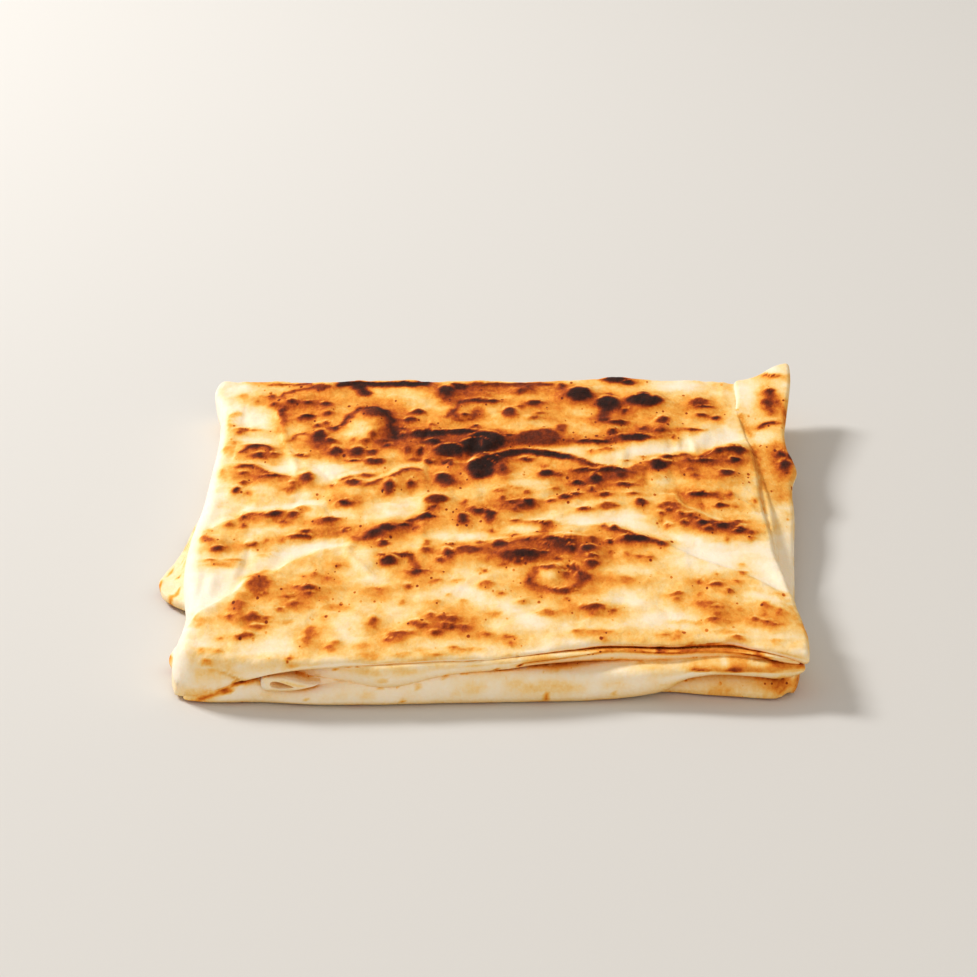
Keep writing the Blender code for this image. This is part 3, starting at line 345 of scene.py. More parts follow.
# Soft fields of warmer toast, on the plan: x, y, radii, depth
FIELDS = [
    (91, -40, 8, 6, 0.14), (-39, -69, 6, 9, 0.34), (-26, -57, 9, 10, 0.36), (-68, -75, 7, 8, 0.26),
    (-84, -86, 12, 14, 0.30), (40, -59, 8, 7, 0.38), (35, -70, 5, 6, 0.30), (76, -83, 8, 11, 0.30),
    (-57, 55, 14, 8, 0.42), (39, 30, 14, 14, 0.36), (85, -13, 14, 8, 0.36), (109, 42, 5, 16, 0.34),
    (-60, -44, 15, 7, 0.26), (68, -60, 18, 12, 0.22), (-58, -62, 12, 9, 0.26), (-16, -88, 18, 11, 0.30),
    (6, -104, 10, 6, 0.16), (-4, -37, 18, 10, 0.30), (-76, 62, 8, 7, 0.26), (-74, 102, 10, 12, 0.36),
    (20, 100, 12, 8, 0.30), (-12, 112, 12, 10, 0.44), (86, 106, 14, 10, 0.26), (-36, -20, 12, 12, 0.32),
    (6, 6, 15, 9, 0.34), (84, 38, 16, 14, 0.34), (70, 8, 10, 9, 0.30), (-88, 53, 10, 8, 0.34),
    (-90, 32, 10, 7, 0.28), (-82, -7, 13, 8, 0.32), (-52, 10, 10, 9, 0.30), (30, 90, 14, 10, 0.20),
    (-96, -32, 9, 9, 0.30), (-66, 108, 12, 12, 0.36), (-42, 106, 14, 10, 0.32), (-26, 70, 16, 12, 0.48),
    (-8, 54, 18, 16, 0.55), (8, 66, 22, 11, 0.50), (-30, 30, 12, 14, 0.32), (-14, 26, 10, 12, 0.30),
    (-36, 92, 14, 14, 0.30), (-66, 64, 7, 12, 0.44), (-40, 76, 6, 14, 0.40), (56, 100, 18, 16, 0.34),
    (60, 76, 14, 8, 0.38), (38, 66, 16, 7, 0.34), (34, 112, 12, 12, 0.36), (4, 118, 20, 8, 0.34),
    (110, 112, 3.5, 12, 0.45), (109, 56, 6, 13, 0.45), (108, 22, 6, 18, 0.30), (-92, 108, 10, 8, 0.20),
    (-60, -16, 12, 8, 0.30), (20, -30, 16, 10, 0.36), (34, -40, 10, 14, 0.34),
    (8, -38, 12, 10, 0.36), (22, -62, 14, 10, 0.30), (30, -80, 12, 7, 0.26), (-78, -64, 9, 14, 0.32),
    (90, -82, 12, 10, 0.28), (50, -24, 14, 8, 0.30), (84, 50, 14, 10, 0.30), (76, 18, 16, 8, 0.28),
    (-60, -102, 8, 10, 0.22), (-38, -92, 8, 8, 0.20), (-36, -112, 16, 7, 0.24), (40, -100, 14, 4, 0.20),
]
# Strokes of toast on the plan: depth, half-width, the points that the stroke runs through
STROKES = [
    (0.96, 2.8, [(-59, 124.5), (-44, 124), (-27, 125)]), (0.90, 2.2, [(-53, 121), (-50, 114)]),
    (0.70, 0.9, [(-88, 124), (-72, 124)]), (0.66, 0.8, [(-83, 111), (-81, 115), (-77, 118), (-70, 120)]),
    (0.86, 1.0, [(-61, 79), (-58, 82), (-56, 87), (-54.5, 93), (-51, 98.5), (-46, 99.5), (-42, 96),
                 (-39, 88), (-38.3, 77), (-36.6, 69)]),
    (0.50, 1.6, [(-81, 75), (-81, 88), (-82, 100)]), (0.66, 0.8, [(-76.5, 67), (-75.5, 71), (-72, 73)]),
    (0.80, 0.5, [(-12, 106), (-14.5, 98), (-17, 91)]),
    (0.50, 0.8, [(-15, 97), (-14, 87), (-7, 87), (-6, 96)]),
    (0.72, 1.6, [(-1, 124), (10, 123.5), (23, 124.5)]), (0.60, 2.2, [(45, 97), (43.5, 89)]),
    (0.97, 2.6, [(3, 51.5), (8, 54.5), (13, 56), (20, 54), (27, 51)]),
    (0.74, 1.3, [(27, 51.5), (34, 47), (38, 42), (46, 40), (50, 37)]),
    (0.72, 1.0, [(60, 46), (66, 50.5), (73, 53)]), (0.66, 1.0, [(79, 50), (86, 57), (93, 62)]),
    (0.70, 0.7, [(-21, 5), (-22.5, 0), (-23, -3)]), (0.74, 1.2, [(-23, -4), (-28, -6.5), (-31.5, -10.5)]),
    (0.64, 1.3, [(-37, -12), (-42, -18), (-45, -24)]), (0.66, 1.3, [(-30, -36), (-27.5, -42), (-26, -50)]),
    (0.62, 1.6, [(15, -50), (13, -57), (16, -65), (24, -68), (31, -62), (32, -54), (28, -49)]),
    (0.62, 1.6, [(19, -10), (20, -14), (18.5, -19)]),
    (0.66, 1.3, [(44, -15.5), (50, -20), (56, -24.5), (62, -29)]),
    (0.60, 1.0, [(-88, -3), (-82, -2), (-77, -1)]),
    (0.66, 1.0, [(-95, 55), (-92, 60.5), (-87, 61.5), (-84, 58)]),
    (0.60, 0.9, [(-95, 41), (-91, 42.5), (-86, 37), (-80, 33), (-76, 30)]),
    (0.64, 0.9, [(-46, 25), (-41, 29), (-37, 32.5), (-33, 38), (-30, 39.5), (-27.5, 38)]),
    (0.62, 0.8, [(-56, 28), (-53, 32)]), (0.62, 0.9, [(-48, 32.5), (-44.5, 33)]),
    (0.60, 1.0, [(74, -6), (80, -9), (88, -11)]), (0.46, 1.2, [(32, -99.5), (40, -99)]),
    (0.42, 1.4, [(-13, -112), (-5, -112)]), (0.50, 1.0, [(-84, -56), (-79, -51.5)]),
    (0.40, 0.9, [(61, -92), (70, -92)]), (0.40, 1.0, [(2, -29), (10, -25.5), (22, -22)]),
    (0.86, 0.8, [(103.5, 79), (107, 83.5), (111.5, 84)]), (0.50, 0.8, [(111, 112), (110, 100), (108.5, 92)]),
    (0.55, 0.4, [(112.5, 106), (114.5, 96), (115.2, 84)]), (0.70, 0.8, [(110.5, 134), (114, 134)]),
    (0.42, 0.5, [(99, -70), (103.5, -89), (106, -104)]), (0.50, 0.5, [(97.5, 92), (98, 82), (99.5, 72)]),
    (0.45, 0.5, [(100.2, 62), (101, 40), (101, 20)]), (0.40, 0.6, [(-84, -88), (-76, -92), (-68, -91)]),
]
# Places that the griddle left pale, on the plan: x, y, radii, how fully
PALE = [
    (-93, 90, 10, 14, 0.85), (-76, 40, 3.5, 20, 0.8), (-62, 37, 6, 13, 0.8), (-90, -50, 16, 12, 0.8),
    (-10, -72, 12, 9, 0.75), (-45, -42, 5, 10, 0.8), (20, -54, 3.4, 5, 0.9), (60, -90, 16, 9, 0.55),
    (-107, 0, 6, 120, 0.9), (-90, -112, 14, 9, 0.6), (44, -4, 16, 7, 0.8), (12, -16, 9, 5, 0.8),
    (-52, 74, 6, 12, 0.5), (36, 96, 7, 7, 0.6), (78, 66, 9, 7, 0.8), (52, 54, 12, 5, 0.8),
    (14, -92, 8, 8, 0.5), (-70, -108, 12, 7, 0.5), (75, -30, 12, 8, 0.6), (-100, 115, 8, 9, 0.5),
    (50, -50, 9, 6, 0.5), (70, 122, 14, 6, 0.4), (-55, -3, 6, 7, 0.5), (-52, 20, 4, 8, 0.6),
    (-30, 66, 3, 5, 0.5), (-38, 55, 4, 6, 0.5), (-70, 14, 5, 10, 0.7), (14, 26, 8, 4, 0.6),
    (100, 114, 4, 14, 0.8), (105, 70, 5, 9, 0.8), (-30, -84, 6, 6, 0.3), (84, 68, 7, 6, 0.6),
]
# Marks on the front faces, in millimetres: x, z, radii along x and z, depth
FRONT_MARKS = [
    (70, 12.6, 6, 0.8, 0.34), (82, 12.7, 4.5, 1, 0.38), (92, 12.2, 5, 0.9, 0.32), (69, 12.2, 3, 0.4, 0.5),
    (80.5, 12.4, 2.4, 0.6, 0.42), (81.5, 11.6, 0.5, 0.4, 0.8), (96, 6.5, 3, 3, 0.26),
    (-29, 3.2, 0.6, 0.8, 0.98), (18, 3.4, 0.8, 1.3, 0.42), (-24, 7.8, 0.9, 0.6, 0.7),
    (25, 11.2, 6, 0.5, 0.22), (8.6, 13.6, 0.5, 0.5, 0.85), (15, 14.3, 0.5, 0.6, 0.6),
    (2, 12.9, 0.6, 0.5, 0.5), (-10, 12, 0.5, 0.5, 0.5), (-15.5, 10.8, 0.6, 0.7, 0.4),
    (-98, 2.6, 5, 2.6, 0.2), (103, 4.5, 2.5, 4, 0.26), (16, 15, 5, 1, 0.3), (-52, 12.4, 0.6, 0.4, 0.5),
    (-57, 3.6, 0.5, 0.9, 0.4), (-62, 3, 0.6, 0.6, 0.35), (-88, 5.6, 2.6, 0.6, 0.5), (-83, 8.2, 3, 0.7, 0.46),
    (40, 4, 1, 0.8, 0.2), (-36, 10.6, 2, 0.8, 0.2), (66, 5.6, 2.4, 0.5, 0.3), (61, 5, 0.6, 0.5, 0.6),
    (92, 6.2, 5, 2.2, 0.22), (56, 15.6, 1, 0.5, 0.5), (70, 16, 7, 0.5, 0.4), (88, 14.8, 4, 0.5, 0.5),
    (76.5, 12.8, 4, 0.9, 0.22),
]
# How toasted the dough is, from 0, raw, to 1, char
CHAR_DEPTH, DARK_DEPTH, BROWN_DEPTH, GOLD_DEPTH = 0.96, 0.82, 0.62, 0.36  # of each table's marks
FIELD_SHARE = 0.85  # how much of their depth the soft fields keep
MARK_CORE, MARK_HALO, MARK_REACH = 0.42, 2.6, 9  # softness of a mark's edge, its halo, where it ends
TINY_MARK = 0.9  # a smaller mark raises no blister
SKY_RAYS, SKY_REACH, SKY_LIFT = 14, 0.0060, 0.0003  # rays that test how open a place is
RAY_TURN = 2.4  # from each of these rays to the next, which spreads them evenly
SIGHT_REACH, SIGHT_LIFT = 0.06, 0.0002  # of the ray that follows a place's sight line
FACE_TILT, FACE_LEVEL = (-0.10, 0.45), (0.0090, 0.0130)  # over these dough becomes griddled face
FRONT_FACES_Y, FRONT_FACES_TOP = -0.100, 0.0162  # the front faces lie before and below these
SIDES_Y, SIDES_X = -0.085, 0.088  # gaps between the layers are looked for outside these
GAP_SHADE, LOOP_SHADE = 0.46, 0.18  # painted shade added in the layers' gaps and in the curl's opening
LOOP_RADIUS = 0.0045  # round the curl's opening
CREST_HIGHLIGHT = 0.5  # how much of the toast a mark's painted crest highlight takes away
FRONT_EASE = 0.22  # how much weaker the toast is along the front
EDGE_WANDER = 0.0011  # how far the noise pushes a mark's edge about
SHARP_ANGLE = math.radians(55)  # steeper turns between faces show as a line
# The dough's colours on screen at toast 0, 0.1, 0.2 and so on up to 1
TOAST_COLORS = [(255, 243, 225), (254, 233, 198), (253, 218, 156), (249, 198, 112), (244, 170, 70),
                (230, 138, 42), (202, 98, 22), (160, 64, 14), (112, 42, 14), (72, 30, 17), (40, 22, 17)]


def ease(low, high, at):
    """0 below low, 1 above high, smooth between."""
    share = np.clip((at - low) / (high - low), 0.0, 1.0)
    return share * share * (3.0 - 2.0 * share)


def between(first, last, at):
    """Rises from 0 to 1 over the first stretch and falls back over the last one."""
    return ease(*first, at) * (1 - ease(*last, at))


def bell(off):
    """1 at 0, falling away on both sides."""
    return np.exp(-off * off)


def dome(away):
    """A full round dome. away is the square of the distance from its middle over its radius."""
    return np.exp(-1.4 * away ** 1.5)


def through(points, at):
    """The smooth curve through the points, level past its ends."""
    where, height = np.array(points, float).T
    slope = np.gradient(height, where)
    i = np.clip(np.searchsorted(where, at) - 1, 0, len(where) - 2)
    gap = where[i + 1] - where[i]
    t = np.clip((at - where[i]) / gap, 0.0, 1.0)
    return (height[i] * (1 + 2 * t) * (1 - t) ** 2 + slope[i] * gap * t * (1 - t) ** 2
            + height[i + 1] * t * t * (3 - 2 * t) + slope[i + 1] * gap * t * t * (t - 1))


def ripple(x, y, length, seed, z=0.0):
    """Smooth noise between about -1 and 1, at x, y and z."""
    z = np.full_like(x, z) if np.isscalar(z) else z
    return np.array([noise.noise(Vector((a / length, b / length, c / length + seed)))
                     for a, b, c in zip(x, y, z)])


def along(line, at, end):
    """1 within the line's ends, fading to 0 over the length end past them."""
    first, last = line[0][0] * MM, line[-1][0] * MM
    return between((first - end, first + end), (last - end, last + end), at)


def on_line(line, at):
    """The plan's line at a place, in metres."""
    return MM * through(line, at / MM)


def plan_place(x, y, z):
    """Where the sight line through a point meets the plan."""
    reach = (CAMERA_PLACE.z - TOP_HEIGHT) / (CAMERA_PLACE.z - z)
    return CAMERA_PLACE.x + (x - CAMERA_PLACE.x) * reach, CAMERA_PLACE.y + (y - CAMERA_PLACE.y) * reach


def crown(x, y):
    """How much higher the face stands towards its middle."""
    return CROWN * (1 - (x / 0.11) ** 2) * (1 - ((y - 0.005) / 0.13) ** 2)


def behind_fold(fold, x, y):
    """How far a plan place lies behind the fold's line, square to it."""
    line = fold["line"]
    lean = (on_line(line, x + 0.001) - on_line(line, x - 0.001)) / 0.002
    return (y - on_line(line, x)) / np.sqrt(1 + lean * lean)


def fold_height(fold, x, y):
    """A long rise to the crest from the front, a steep drop behind it, then a hollow."""
    rise, slack = FOLD_LIFT * fold["rise"] * MM, FOLD_LIFT * fold["slack"] * MM
    behind = behind_fold(fold, *plan_place(x, y, TOP_HEIGHT + crown(x, y) + rise))
    front_side = np.exp(np.minimum(behind, 0) / (FOLD_REACH / 3))
    back_side = bell(np.maximum(behind, 0) / CREST_FALL)
    hollow = bell((behind - SLACK_OFFSET) / SLACK_REACH)
    shape = rise * np.minimum(front_side, back_side) - slack * hollow
    return shape * along(fold["line"], x, FOLD_END)


def folds_and_domes(x, y):
    """The larger forms of the face: its crown, folds, ridges and domes."""
    height = crown(x, y)
    for fold in FOLDS:
        height = height + fold_height(fold, x, y)
    px, py = plan_place(x, y, TOP_HEIGHT + height)
    for ridge in RIDGES:
        off = (px - on_line(ridge["line"], py)) / (ridge["half"] * MM)
        shape = ridge["height"] * MM * bell(off)
        height = height + shape * along(ridge["line"], py, FOLD_END)
    for cx, cy, rx, ry, rise in DOMES:
        away = ((px / MM - cx) / rx) ** 2 + ((py / MM - cy) / ry) ** 2
        height = height + DOME_LIFT * rise * MM * dome(away)
    return height


def wrinkles(x, y):
    """Thin winding creases, the deeper ones with a raised side."""
    height = np.zeros_like(x)
    for length, seed, width, depth in WRINKLES:
        wind = ripple(x + 0.3 * length * ripple(x, y, length, seed + 1), y, length, seed)
        height += depth * (0.7 * bell((wind - 0.10) / width) - bell(wind / width))
    return height


def small_blisters(x, y):
    """Small low domes scattered over the face."""
    rng = np.random.default_rng(20)
    height = np.zeros_like(x)
    for _ in range(SCATTERED_DOMES):
        cx, cy = rng.uniform(LEFT, RIGHT), rng.uniform(FRONT, BACK)
        radius, rise = rng.uniform(*SCATTER_RADII), rng.uniform(*SCATTER_RISES)
        near = (np.abs(x - cx) < 2 * radius) & (np.abs(y - cy) < 2 * radius)
        away = ((x[near] - cx) ** 2 + (y[near] - cy) ** 2) / (radius * radius)
        height[near] += rise * dome(away)
    return height


def mark_profile(outside, back):
    """Full inside a mark, a crisp edge, then a halo. outside is the distance past its edge.

    back is 1 behind the mark, where the edge is crisp, and 0 in front, where it fades slowly.
    """
    spread = 1.6 - 1.05 * back
    core = 1 / (1 + np.exp(outside / (MARK_CORE * MM * spread)))
    halo = np.exp(-np.maximum(outside, 0) / (MARK_HALO * MM * spread))
    return 0.66 * core + 0.34 * halo


def mark_radii(mark):
    """A mark's radii along x and y. Where it has one, that holds for both."""
    return mark[2], mark[-1]


def spot_shade(mark, x, y):
    """A spot's strength at the plan places, and which places are near it."""
    cx, cy, rx, ry = (size * MM for size in (*mark[:2], *mark_radii(mark)))
    reach = MARK_REACH * MM
    near = (np.abs(x - cx) < rx + reach) & (np.abs(y - cy) < ry + reach)
    u, v = (x[near] - cx) / rx, (y[near] - cy) / ry
    ring = np.hypot(u, v)
    outside = (ring - 1) * np.minimum(rx, ry) * (1 + 0.5 * np.abs(rx - ry) / (rx + ry))
    return near, mark_profile(outside, ease(-0.4, 0.8, v / np.maximum(ring, 0.2)))


def mark_blisters(x, y):
    """The blisters under the marks. Each falls off steeply behind and runs out slowly in front."""
    height = np.zeros_like(x)
    for mark in CHARRED + DARK + BROWN:
        rx, ry = mark_radii(mark)
        if min(rx, ry) < TINY_MARK:
            continue
        rise = min(BLISTER_LOW + BLISTER_SHARE * min(rx, ry), BLISTER_HIGH) * MM
        u, v = (x / MM - mark[0]) / (1.25 * rx + 0.6), (y / MM - mark[1]) / (1.15 * ry + 0.6)
        near = (np.abs(u) < 3) & (np.abs(v) < 4)
        ring = np.hypot(u[near], v[near])
        back = ease(-0.4, 0.7, v[near] / np.maximum(ring, 0.2))
        shape = back * (1 - ease(0.55, 1.2, ring)) + (1 - back) * bell(ring / 1.35)
        height[near] = np.maximum(height[near], rise * shape)
    return height


def stroke_shade(points, half_width, x, y):
    """A stroke's strength along the line through its points."""
    places = np.array(points, float) * MM
    reach = half_width * MM + MARK_REACH * MM
    low, high = places.min(axis=0) - reach, places.max(axis=0) + reach
    near = (x > low[0]) & (x < high[0]) & (y > low[1]) & (y < high[1])
    px, py = x[near], y[near]
    nearest, back = np.full_like(px, 1.0), np.zeros_like(px)
    for (ax, ay), (bx, by) in zip(places[:-1], places[1:]):
        dx, dy = bx - ax, by - ay
        t = np.clip(((px - ax) * dx + (py - ay) * dy) / (dx * dx + dy * dy), 0, 1)
        off_x, off_y = px - ax - t * dx, py - ay - t * dy
        gap = np.hypot(off_x, off_y)
        closer = gap < nearest
        back = np.where(closer, ease(-0.4, 0.8, off_y / np.maximum(gap, 1e-6)), back)
        nearest = np.minimum(nearest, gap)
    return near, mark_profile(nearest - half_width * MM, back)


def mark_crest_highlight(mark, x, y):
    """A painted highlight: the thin pale crest behind a mark, and which plan places are near it."""
    rx, ry = mark_radii(mark)
    u, v = (x / MM - mark[0]) / rx, (y / MM - mark[1]) / ry
    near = (np.abs(u) < 2.4) & (v > 0) & (v < 2.8)
    ring = np.hypot(u[near], v[near])
    past = (ring - 1) * min(rx, ry)
    return near, bell((past - 0.95) / 0.42) * ease(0.25, 0.8, v[near] / np.maximum(ring, 0.2))


def mark_toast_and_crest_highlights(x, y):
    """How deeply the marks toast the plan places, from 0 to about 1, lightened by a painted highlight on the
    crest behind each dark mark.
    """
    wx = x + EDGE_WANDER * ripple(x, y, 0.0042, 11.0) + 0.4 * EDGE_WANDER * ripple(x, y, 0.0018, 12.0)
    wy = y + 1.5 * EDGE_WANDER * ripple(x, y, 0.0042, 13.0) + 0.5 * EDGE_WANDER * ripple(x, y, 0.0018, 14.0)
    raw = np.ones_like(x)
    for cx, cy, rx, ry, depth in FIELDS:
        ring = np.hypot((wx / MM - cx) / rx, (wy / MM - cy) / ry)
        raw *= 1 - FIELD_SHARE * depth * np.exp(-1.2 * ring ** 2.4)
    for depth, marks in ((CHAR_DEPTH, CHARRED), (DARK_DEPTH, DARK), (BROWN_DEPTH, BROWN),
                         (GOLD_DEPTH, GOLDEN)):
        for mark in marks:
            near, shade = spot_shade(mark, wx, wy)
            raw[near] *= 1 - depth * shade
    for depth, half_width, points in STROKES:
        near, shade = stroke_shade(points, half_width, wx, wy)
        raw[near] *= 1 - depth * shade
    # Painted highlight: a pale line along the crest behind each dark mark
    crest_highlight = np.zeros_like(x)
    for mark in CHARRED + DARK:
        near, line = mark_crest_highlight(mark, wx, wy)
        crest_highlight[near] = np.maximum(crest_highlight[near], line)
    raw = raw + (1 - raw) * CREST_HIGHLIGHT * crest_highlight
    return (1 - raw) * (1 - FRONT_EASE * (1 - ease(-0.085, -0.025, y)))


def pale_share(x, y):
    """How little the griddle reached the plan places: behind the folds' crests and in patches."""
    share = np.zeros_like(x)
    for fold in FOLDS:
        behind = behind_fold(fold, x, y)
        reach = MM * through(fold["pale"], x / MM)
        strip = between((-0.2 * MM, 1.0 * MM), (0.55 * reach, 1.15 * reach), behind)
        share = np.maximum(share, strip * along(fold["line"], x, FOLD_END))
    for cx, cy, rx, ry, full in PALE:
        ring = np.hypot((x / MM - cx) / rx, (y / MM - cy) / ry)
        share = np.maximum(share, full * (1 - ease(0.45, 1.15, ring)))
    return share


def griddle_glow(x, y):
    """The even toasting between the marks: strongest at the middle of the back."""
    middle = np.exp(-((x - 0.010) / 0.075) ** 2 - ((y - 0.075) / 0.065) ** 2)
    front = 1 - ease(-0.125, -0.060, y)
    left = 1 - ease(-0.108, -0.080, x)
    cloud = ripple(x, y, 0.021, 31.0) + 0.6 * ripple(x, y, 0.009, 32.0) + 0.4 * ripple(x, y, 0.004, 33.0)
    glow = 0.17 + 0.09 * middle - 0.01 * front - 0.10 * left + 0.16 * cloud
    return np.clip(glow, 0.0, 0.5)


def toast_and_highlights_at(x, y):
    """The toast of the face at plan places, from 0, raw dough, to 1, char, with the marks' painted crest
    highlights.
    """
    pale = pale_share(x, y)
    marks = mark_toast_and_crest_highlights(x, y)
    glow = griddle_glow(x, y) * (1 - 0.75 * pale)
    kept = marks * (1 - 0.15 * pale)
    return 1 - (1 - glow) * (1 - kept)


def top_of_top_sheet(x, y):
    """The face's level, with every fold, blister and wrinkle."""
    forms = folds_and_domes(x, y)
    plan = plan_place(x, y, TOP_HEIGHT + forms)
    rough = (RIPPLE * ripple(x, y, RIPPLE_LENGTH, 3.0) + PUCKER * ripple(x, y, PUCKER_LENGTH, 5.0)
             + CRINKLE * ripple(x, y * 0.6, CRINKLE_LENGTH, 7.0))
    rough = (rough + wrinkles(x, y)) * (1 - 0.85 * pale_share(*plan))
    return TOP_HEIGHT + forms + rough + small_blisters(x, y) + mark_blisters(*plan)


def under_top_sheet(x, y):
    """The sheet's underside. At the left it runs down to the table, where the sheet folds under."""
    inside = ease(-0.1180, -0.0900, y)
    lip = through(TOP_LIP, x) + 0.00025 * ripple(x, y * 0, 0.007, 41.0)
    left_fold = SHEET_TURN + SHEET_BOTTOM * ease(-0.1060, -0.0860, x)
    return np.maximum(lip, SHEET_TURN) * (1 - inside) + np.minimum(left_fold, SHEET_BOTTOM) * inside


def across(grid, cells, bend, half, low_radius, high_radius):
    """Where a grid line lies between two rounded edges, and how far up the edge it stands.

    grid runs from -1 to 1. The cells next to each edge follow a quarter round of the given radius.
    """
    from_rim = (1 - np.abs(grid)) * cells / 2
    radius = np.where(grid < 0, low_radius, high_radius) / half
    turn = np.clip(from_rim / bend, 0, 1) * math.pi / 2
    inner = np.clip((from_rim - bend) / (cells / 2 - bend), 0, 1)
    inset = radius * (1 - np.cos(turn)) + inner * (1 - radius)
    return np.sign(grid) * (1 - inset), np.sin(turn)


def slab(name, cells, span, edges, radii, top, bottom, rim=0.5, corner=0.006, bend=BEND_CELLS,
         set_back=0.0):
    """A closed layer of dough.

    span is its nominal (left, right, front, back). edges are its outlines (left, right, front,
    back), radii the rounding of each edge, top and bottom its faces' z at x, y. rim is how far up
    its thickness the outermost line of the edge lies. set_back is how far the front face is moved
    back at x, z. Each may be a number or a function.
    """
    left, right, front, back = span
    half_x, half_y = (right - left) / 2, (back - front) / 2
    cells_x = 2 * round(half_x / cells[0]) + 2 * bend
    cells_y = 2 * round(half_y / cells[1]) + 2 * bend
    bm = bmesh.new()
    for side in (Matrix.Translation((0, 0, 1)),
                 Matrix.Translation((0, 0, -1)) @ Matrix.Rotation(math.pi, 4, "X")):
        bmesh.ops.create_grid(bm, x_segments=cells_x, y_segments=cells_y, size=1.0, matrix=side)
    u, v, side = np.array([vert.co for vert in bm.verts], float).T
    at_x, at_y = (left + right) / 2 + half_x * u, (front + back) / 2 + half_y * v
    s, rise_x = across(u, cells_x, bend, half_x, value(radii[0], at_y), value(radii[1], at_y))
    t, rise_y = across(v, cells_y, bend, half_y, value(radii[2], at_x), value(radii[3], at_x))
    round_s = s * (1 - corner / half_x * np.abs(t) ** CORNER_POWER)
    round_t = t * (1 - corner / half_y * np.abs(s) ** CORNER_POWER)
    x0 = (left + right) / 2 + half_x * round_s
    y0 = (front + back) / 2 + half_y * round_t
    x = value(edges[0], y0) * (1 - round_s) / 2 + value(edges[1], y0) * (1 + round_s) / 2
    y = value(edges[2], x0) * (1 - round_t) / 2 + value(edges[3], x0) * (1 + round_t) / 2
    low, high = value(bottom, x, y), value(top, x, y)
    level = low + (high - low) * value(rim, x, y)
    z = level + np.where(side > 0, high - level, low - level) * rise_x * rise_y
    y = y + value(set_back, x, z) * (1 - ease(*SET_BACK_REACH, y - value(edges[2], x)))
    for vert, place in zip(bm.verts, np.column_stack((x, y, z))):
        vert.co = place
    bmesh.ops.remove_doubles(bm, verts=bm.verts, dist=MERGE_DISTANCE)
    corners = [vert for vert in bm.verts if len(vert.link_edges) == 2]
    bmesh.ops.dissolve_verts(bm, verts=corners)
    return shaped(name, bm)


def shaped(name, bm):
    """The finished bmesh as an object."""
    mesh = bpy.data.meshes.new(name)
    bm.to_mesh(mesh)
    bm.free()
    return bpy.data.objects.new(name, mesh)


def curve(points):
    return lambda at: through(points, at)


def wobbling(points, length, seed):
    """A front edge through the points that wanders a little from side to side."""
    return lambda x: through(points, x) + WOBBLE * ripple(x, 0 * x, length, seed)


def value(rule, *at):
    """A function's value at a place, or the number it is given as."""
    return rule(*at) if callable(rule) else np.full_like(at[0], rule)


def below_edge(line, step, first, last, soft=0.00025):
    """A set-back of the given step below a layer's edge. It starts and ends over two stretches of x."""
    def set_back(x, z):
        below = 1 - ease(-soft, soft, z - through(line, x))
        return step * below * between(first, last, x)
    return set_back


def base():
    """The layer on the table. Its right end is thicker, where the dough turns up.

    Under the raised part of the roll its front slopes back, which leaves an open pocket there.
    """
    def pocket(x):
        return between((0.0460, 0.0560), (0.0950, 0.0990), x)

    def top(x, _y):
        return BASE_TOP + 0.0030 * ease(0.0930, 0.1010, x)

    def front_radius(x):
        return 0.0028 + POCKET_DEPTH * pocket(x)

    def rim(x, y):
        return 0.42 - 0.26 * pocket(x) * (1 - ease(-0.1000, -0.0900, y))
    return slab("base", LOWER_CELLS, (-0.104, 0.104, -0.118, 0.129),
                [curve(BASE_LEFT), curve(BASE_RIGHT), curve(BASE_FRONT), curve(BASE_BACK)],
                (0.0040, 0.0050, front_radius, 0.0045), top, 0.0, rim=rim, corner=0.003)


def roll():
    """The folded edge along the front. It lies on the table at the left and lifts at the right."""
    def rim(x, _y):
        return 0.36 + 0.22 * ease(0.020, 0.055, x)
    return slab("roll", LOWER_CELLS, (-0.102, 0.104, -0.120, ROLL_BACK_Y),
                [-0.1030, 0.1042, wobbling(ROLL_FRONT, 0.0065, 81.0), ROLL_BACK_Y],
                (0.0015, 0.0040, 0.0040, 0.0040), lambda x, _y: through(ROLL_TOP, x),
                lambda x, _y: through(ROLL_LIP, x) + 0.0003, rim=rim, corner=0.001)


def inner_fold():
    """The layer between the base and the top sheet, which shows all round as a second lip."""
    def bottom(x, y):
        inside = ease(-0.1180, -0.1000, y)
        return through(INNER_LIP, x) * (1 - inside) + INNER_BOTTOM * inside

    def top(x, y):
        inside = ease(-0.1180, -0.1000, y)
        lip = np.maximum(through(TOP_LIP, x) + 0.0008, through(INNER_LIP, x) + 0.0016)
        right = 0.0018 * ease(0.0960, 0.1010, x)
        return lip * (1 - inside) + (INNER_TOP + right) * inside

    def rim(x, _y):
        return 0.50 + 0.22 * ease(-0.030, 0.005, x)
    return slab("inner_fold", LOWER_CELLS, (-0.100, 0.104, -0.120, 0.130),
                [curve(INNER_LEFT), curve(INNER_RIGHT), wobbling(INNER_FRONT, 0.0080, 83.0),
                 curve(INNER_BACK)],
                (0.0030, 0.0020, 0.0022, 0.0030), top, bottom, rim=rim, corner=0.003,
                set_back=below_edge(INNER_EDGE, INNER_STEP, INNER_START, INNER_END))


def curl():
    """A small loop of dough in the gap between the roll and the top sheet."""
    def top(x, _y):
        return 0.0114 - 0.0028 * ease(-0.0700, -0.0580, x)

    def bottom(x, _y):
        return 0.0068 + 9.0 * (x + 0.070) ** 2

    def front(x):
        return CURL_FRONT_Y + 0.0020 * ease(-0.0660, -0.0560, x)
    return slab("curl", SMALL_CELLS, (CURL_LEFT_X, CURL_RIGHT_X, CURL_FRONT_Y, CURL_BACK_Y),
                [CURL_LEFT_X, CURL_RIGHT_X, front, CURL_BACK_Y],
                (0.0020, 0.0030, 0.0012, 0.0012), top, bottom, rim=0.5, corner=0.001)


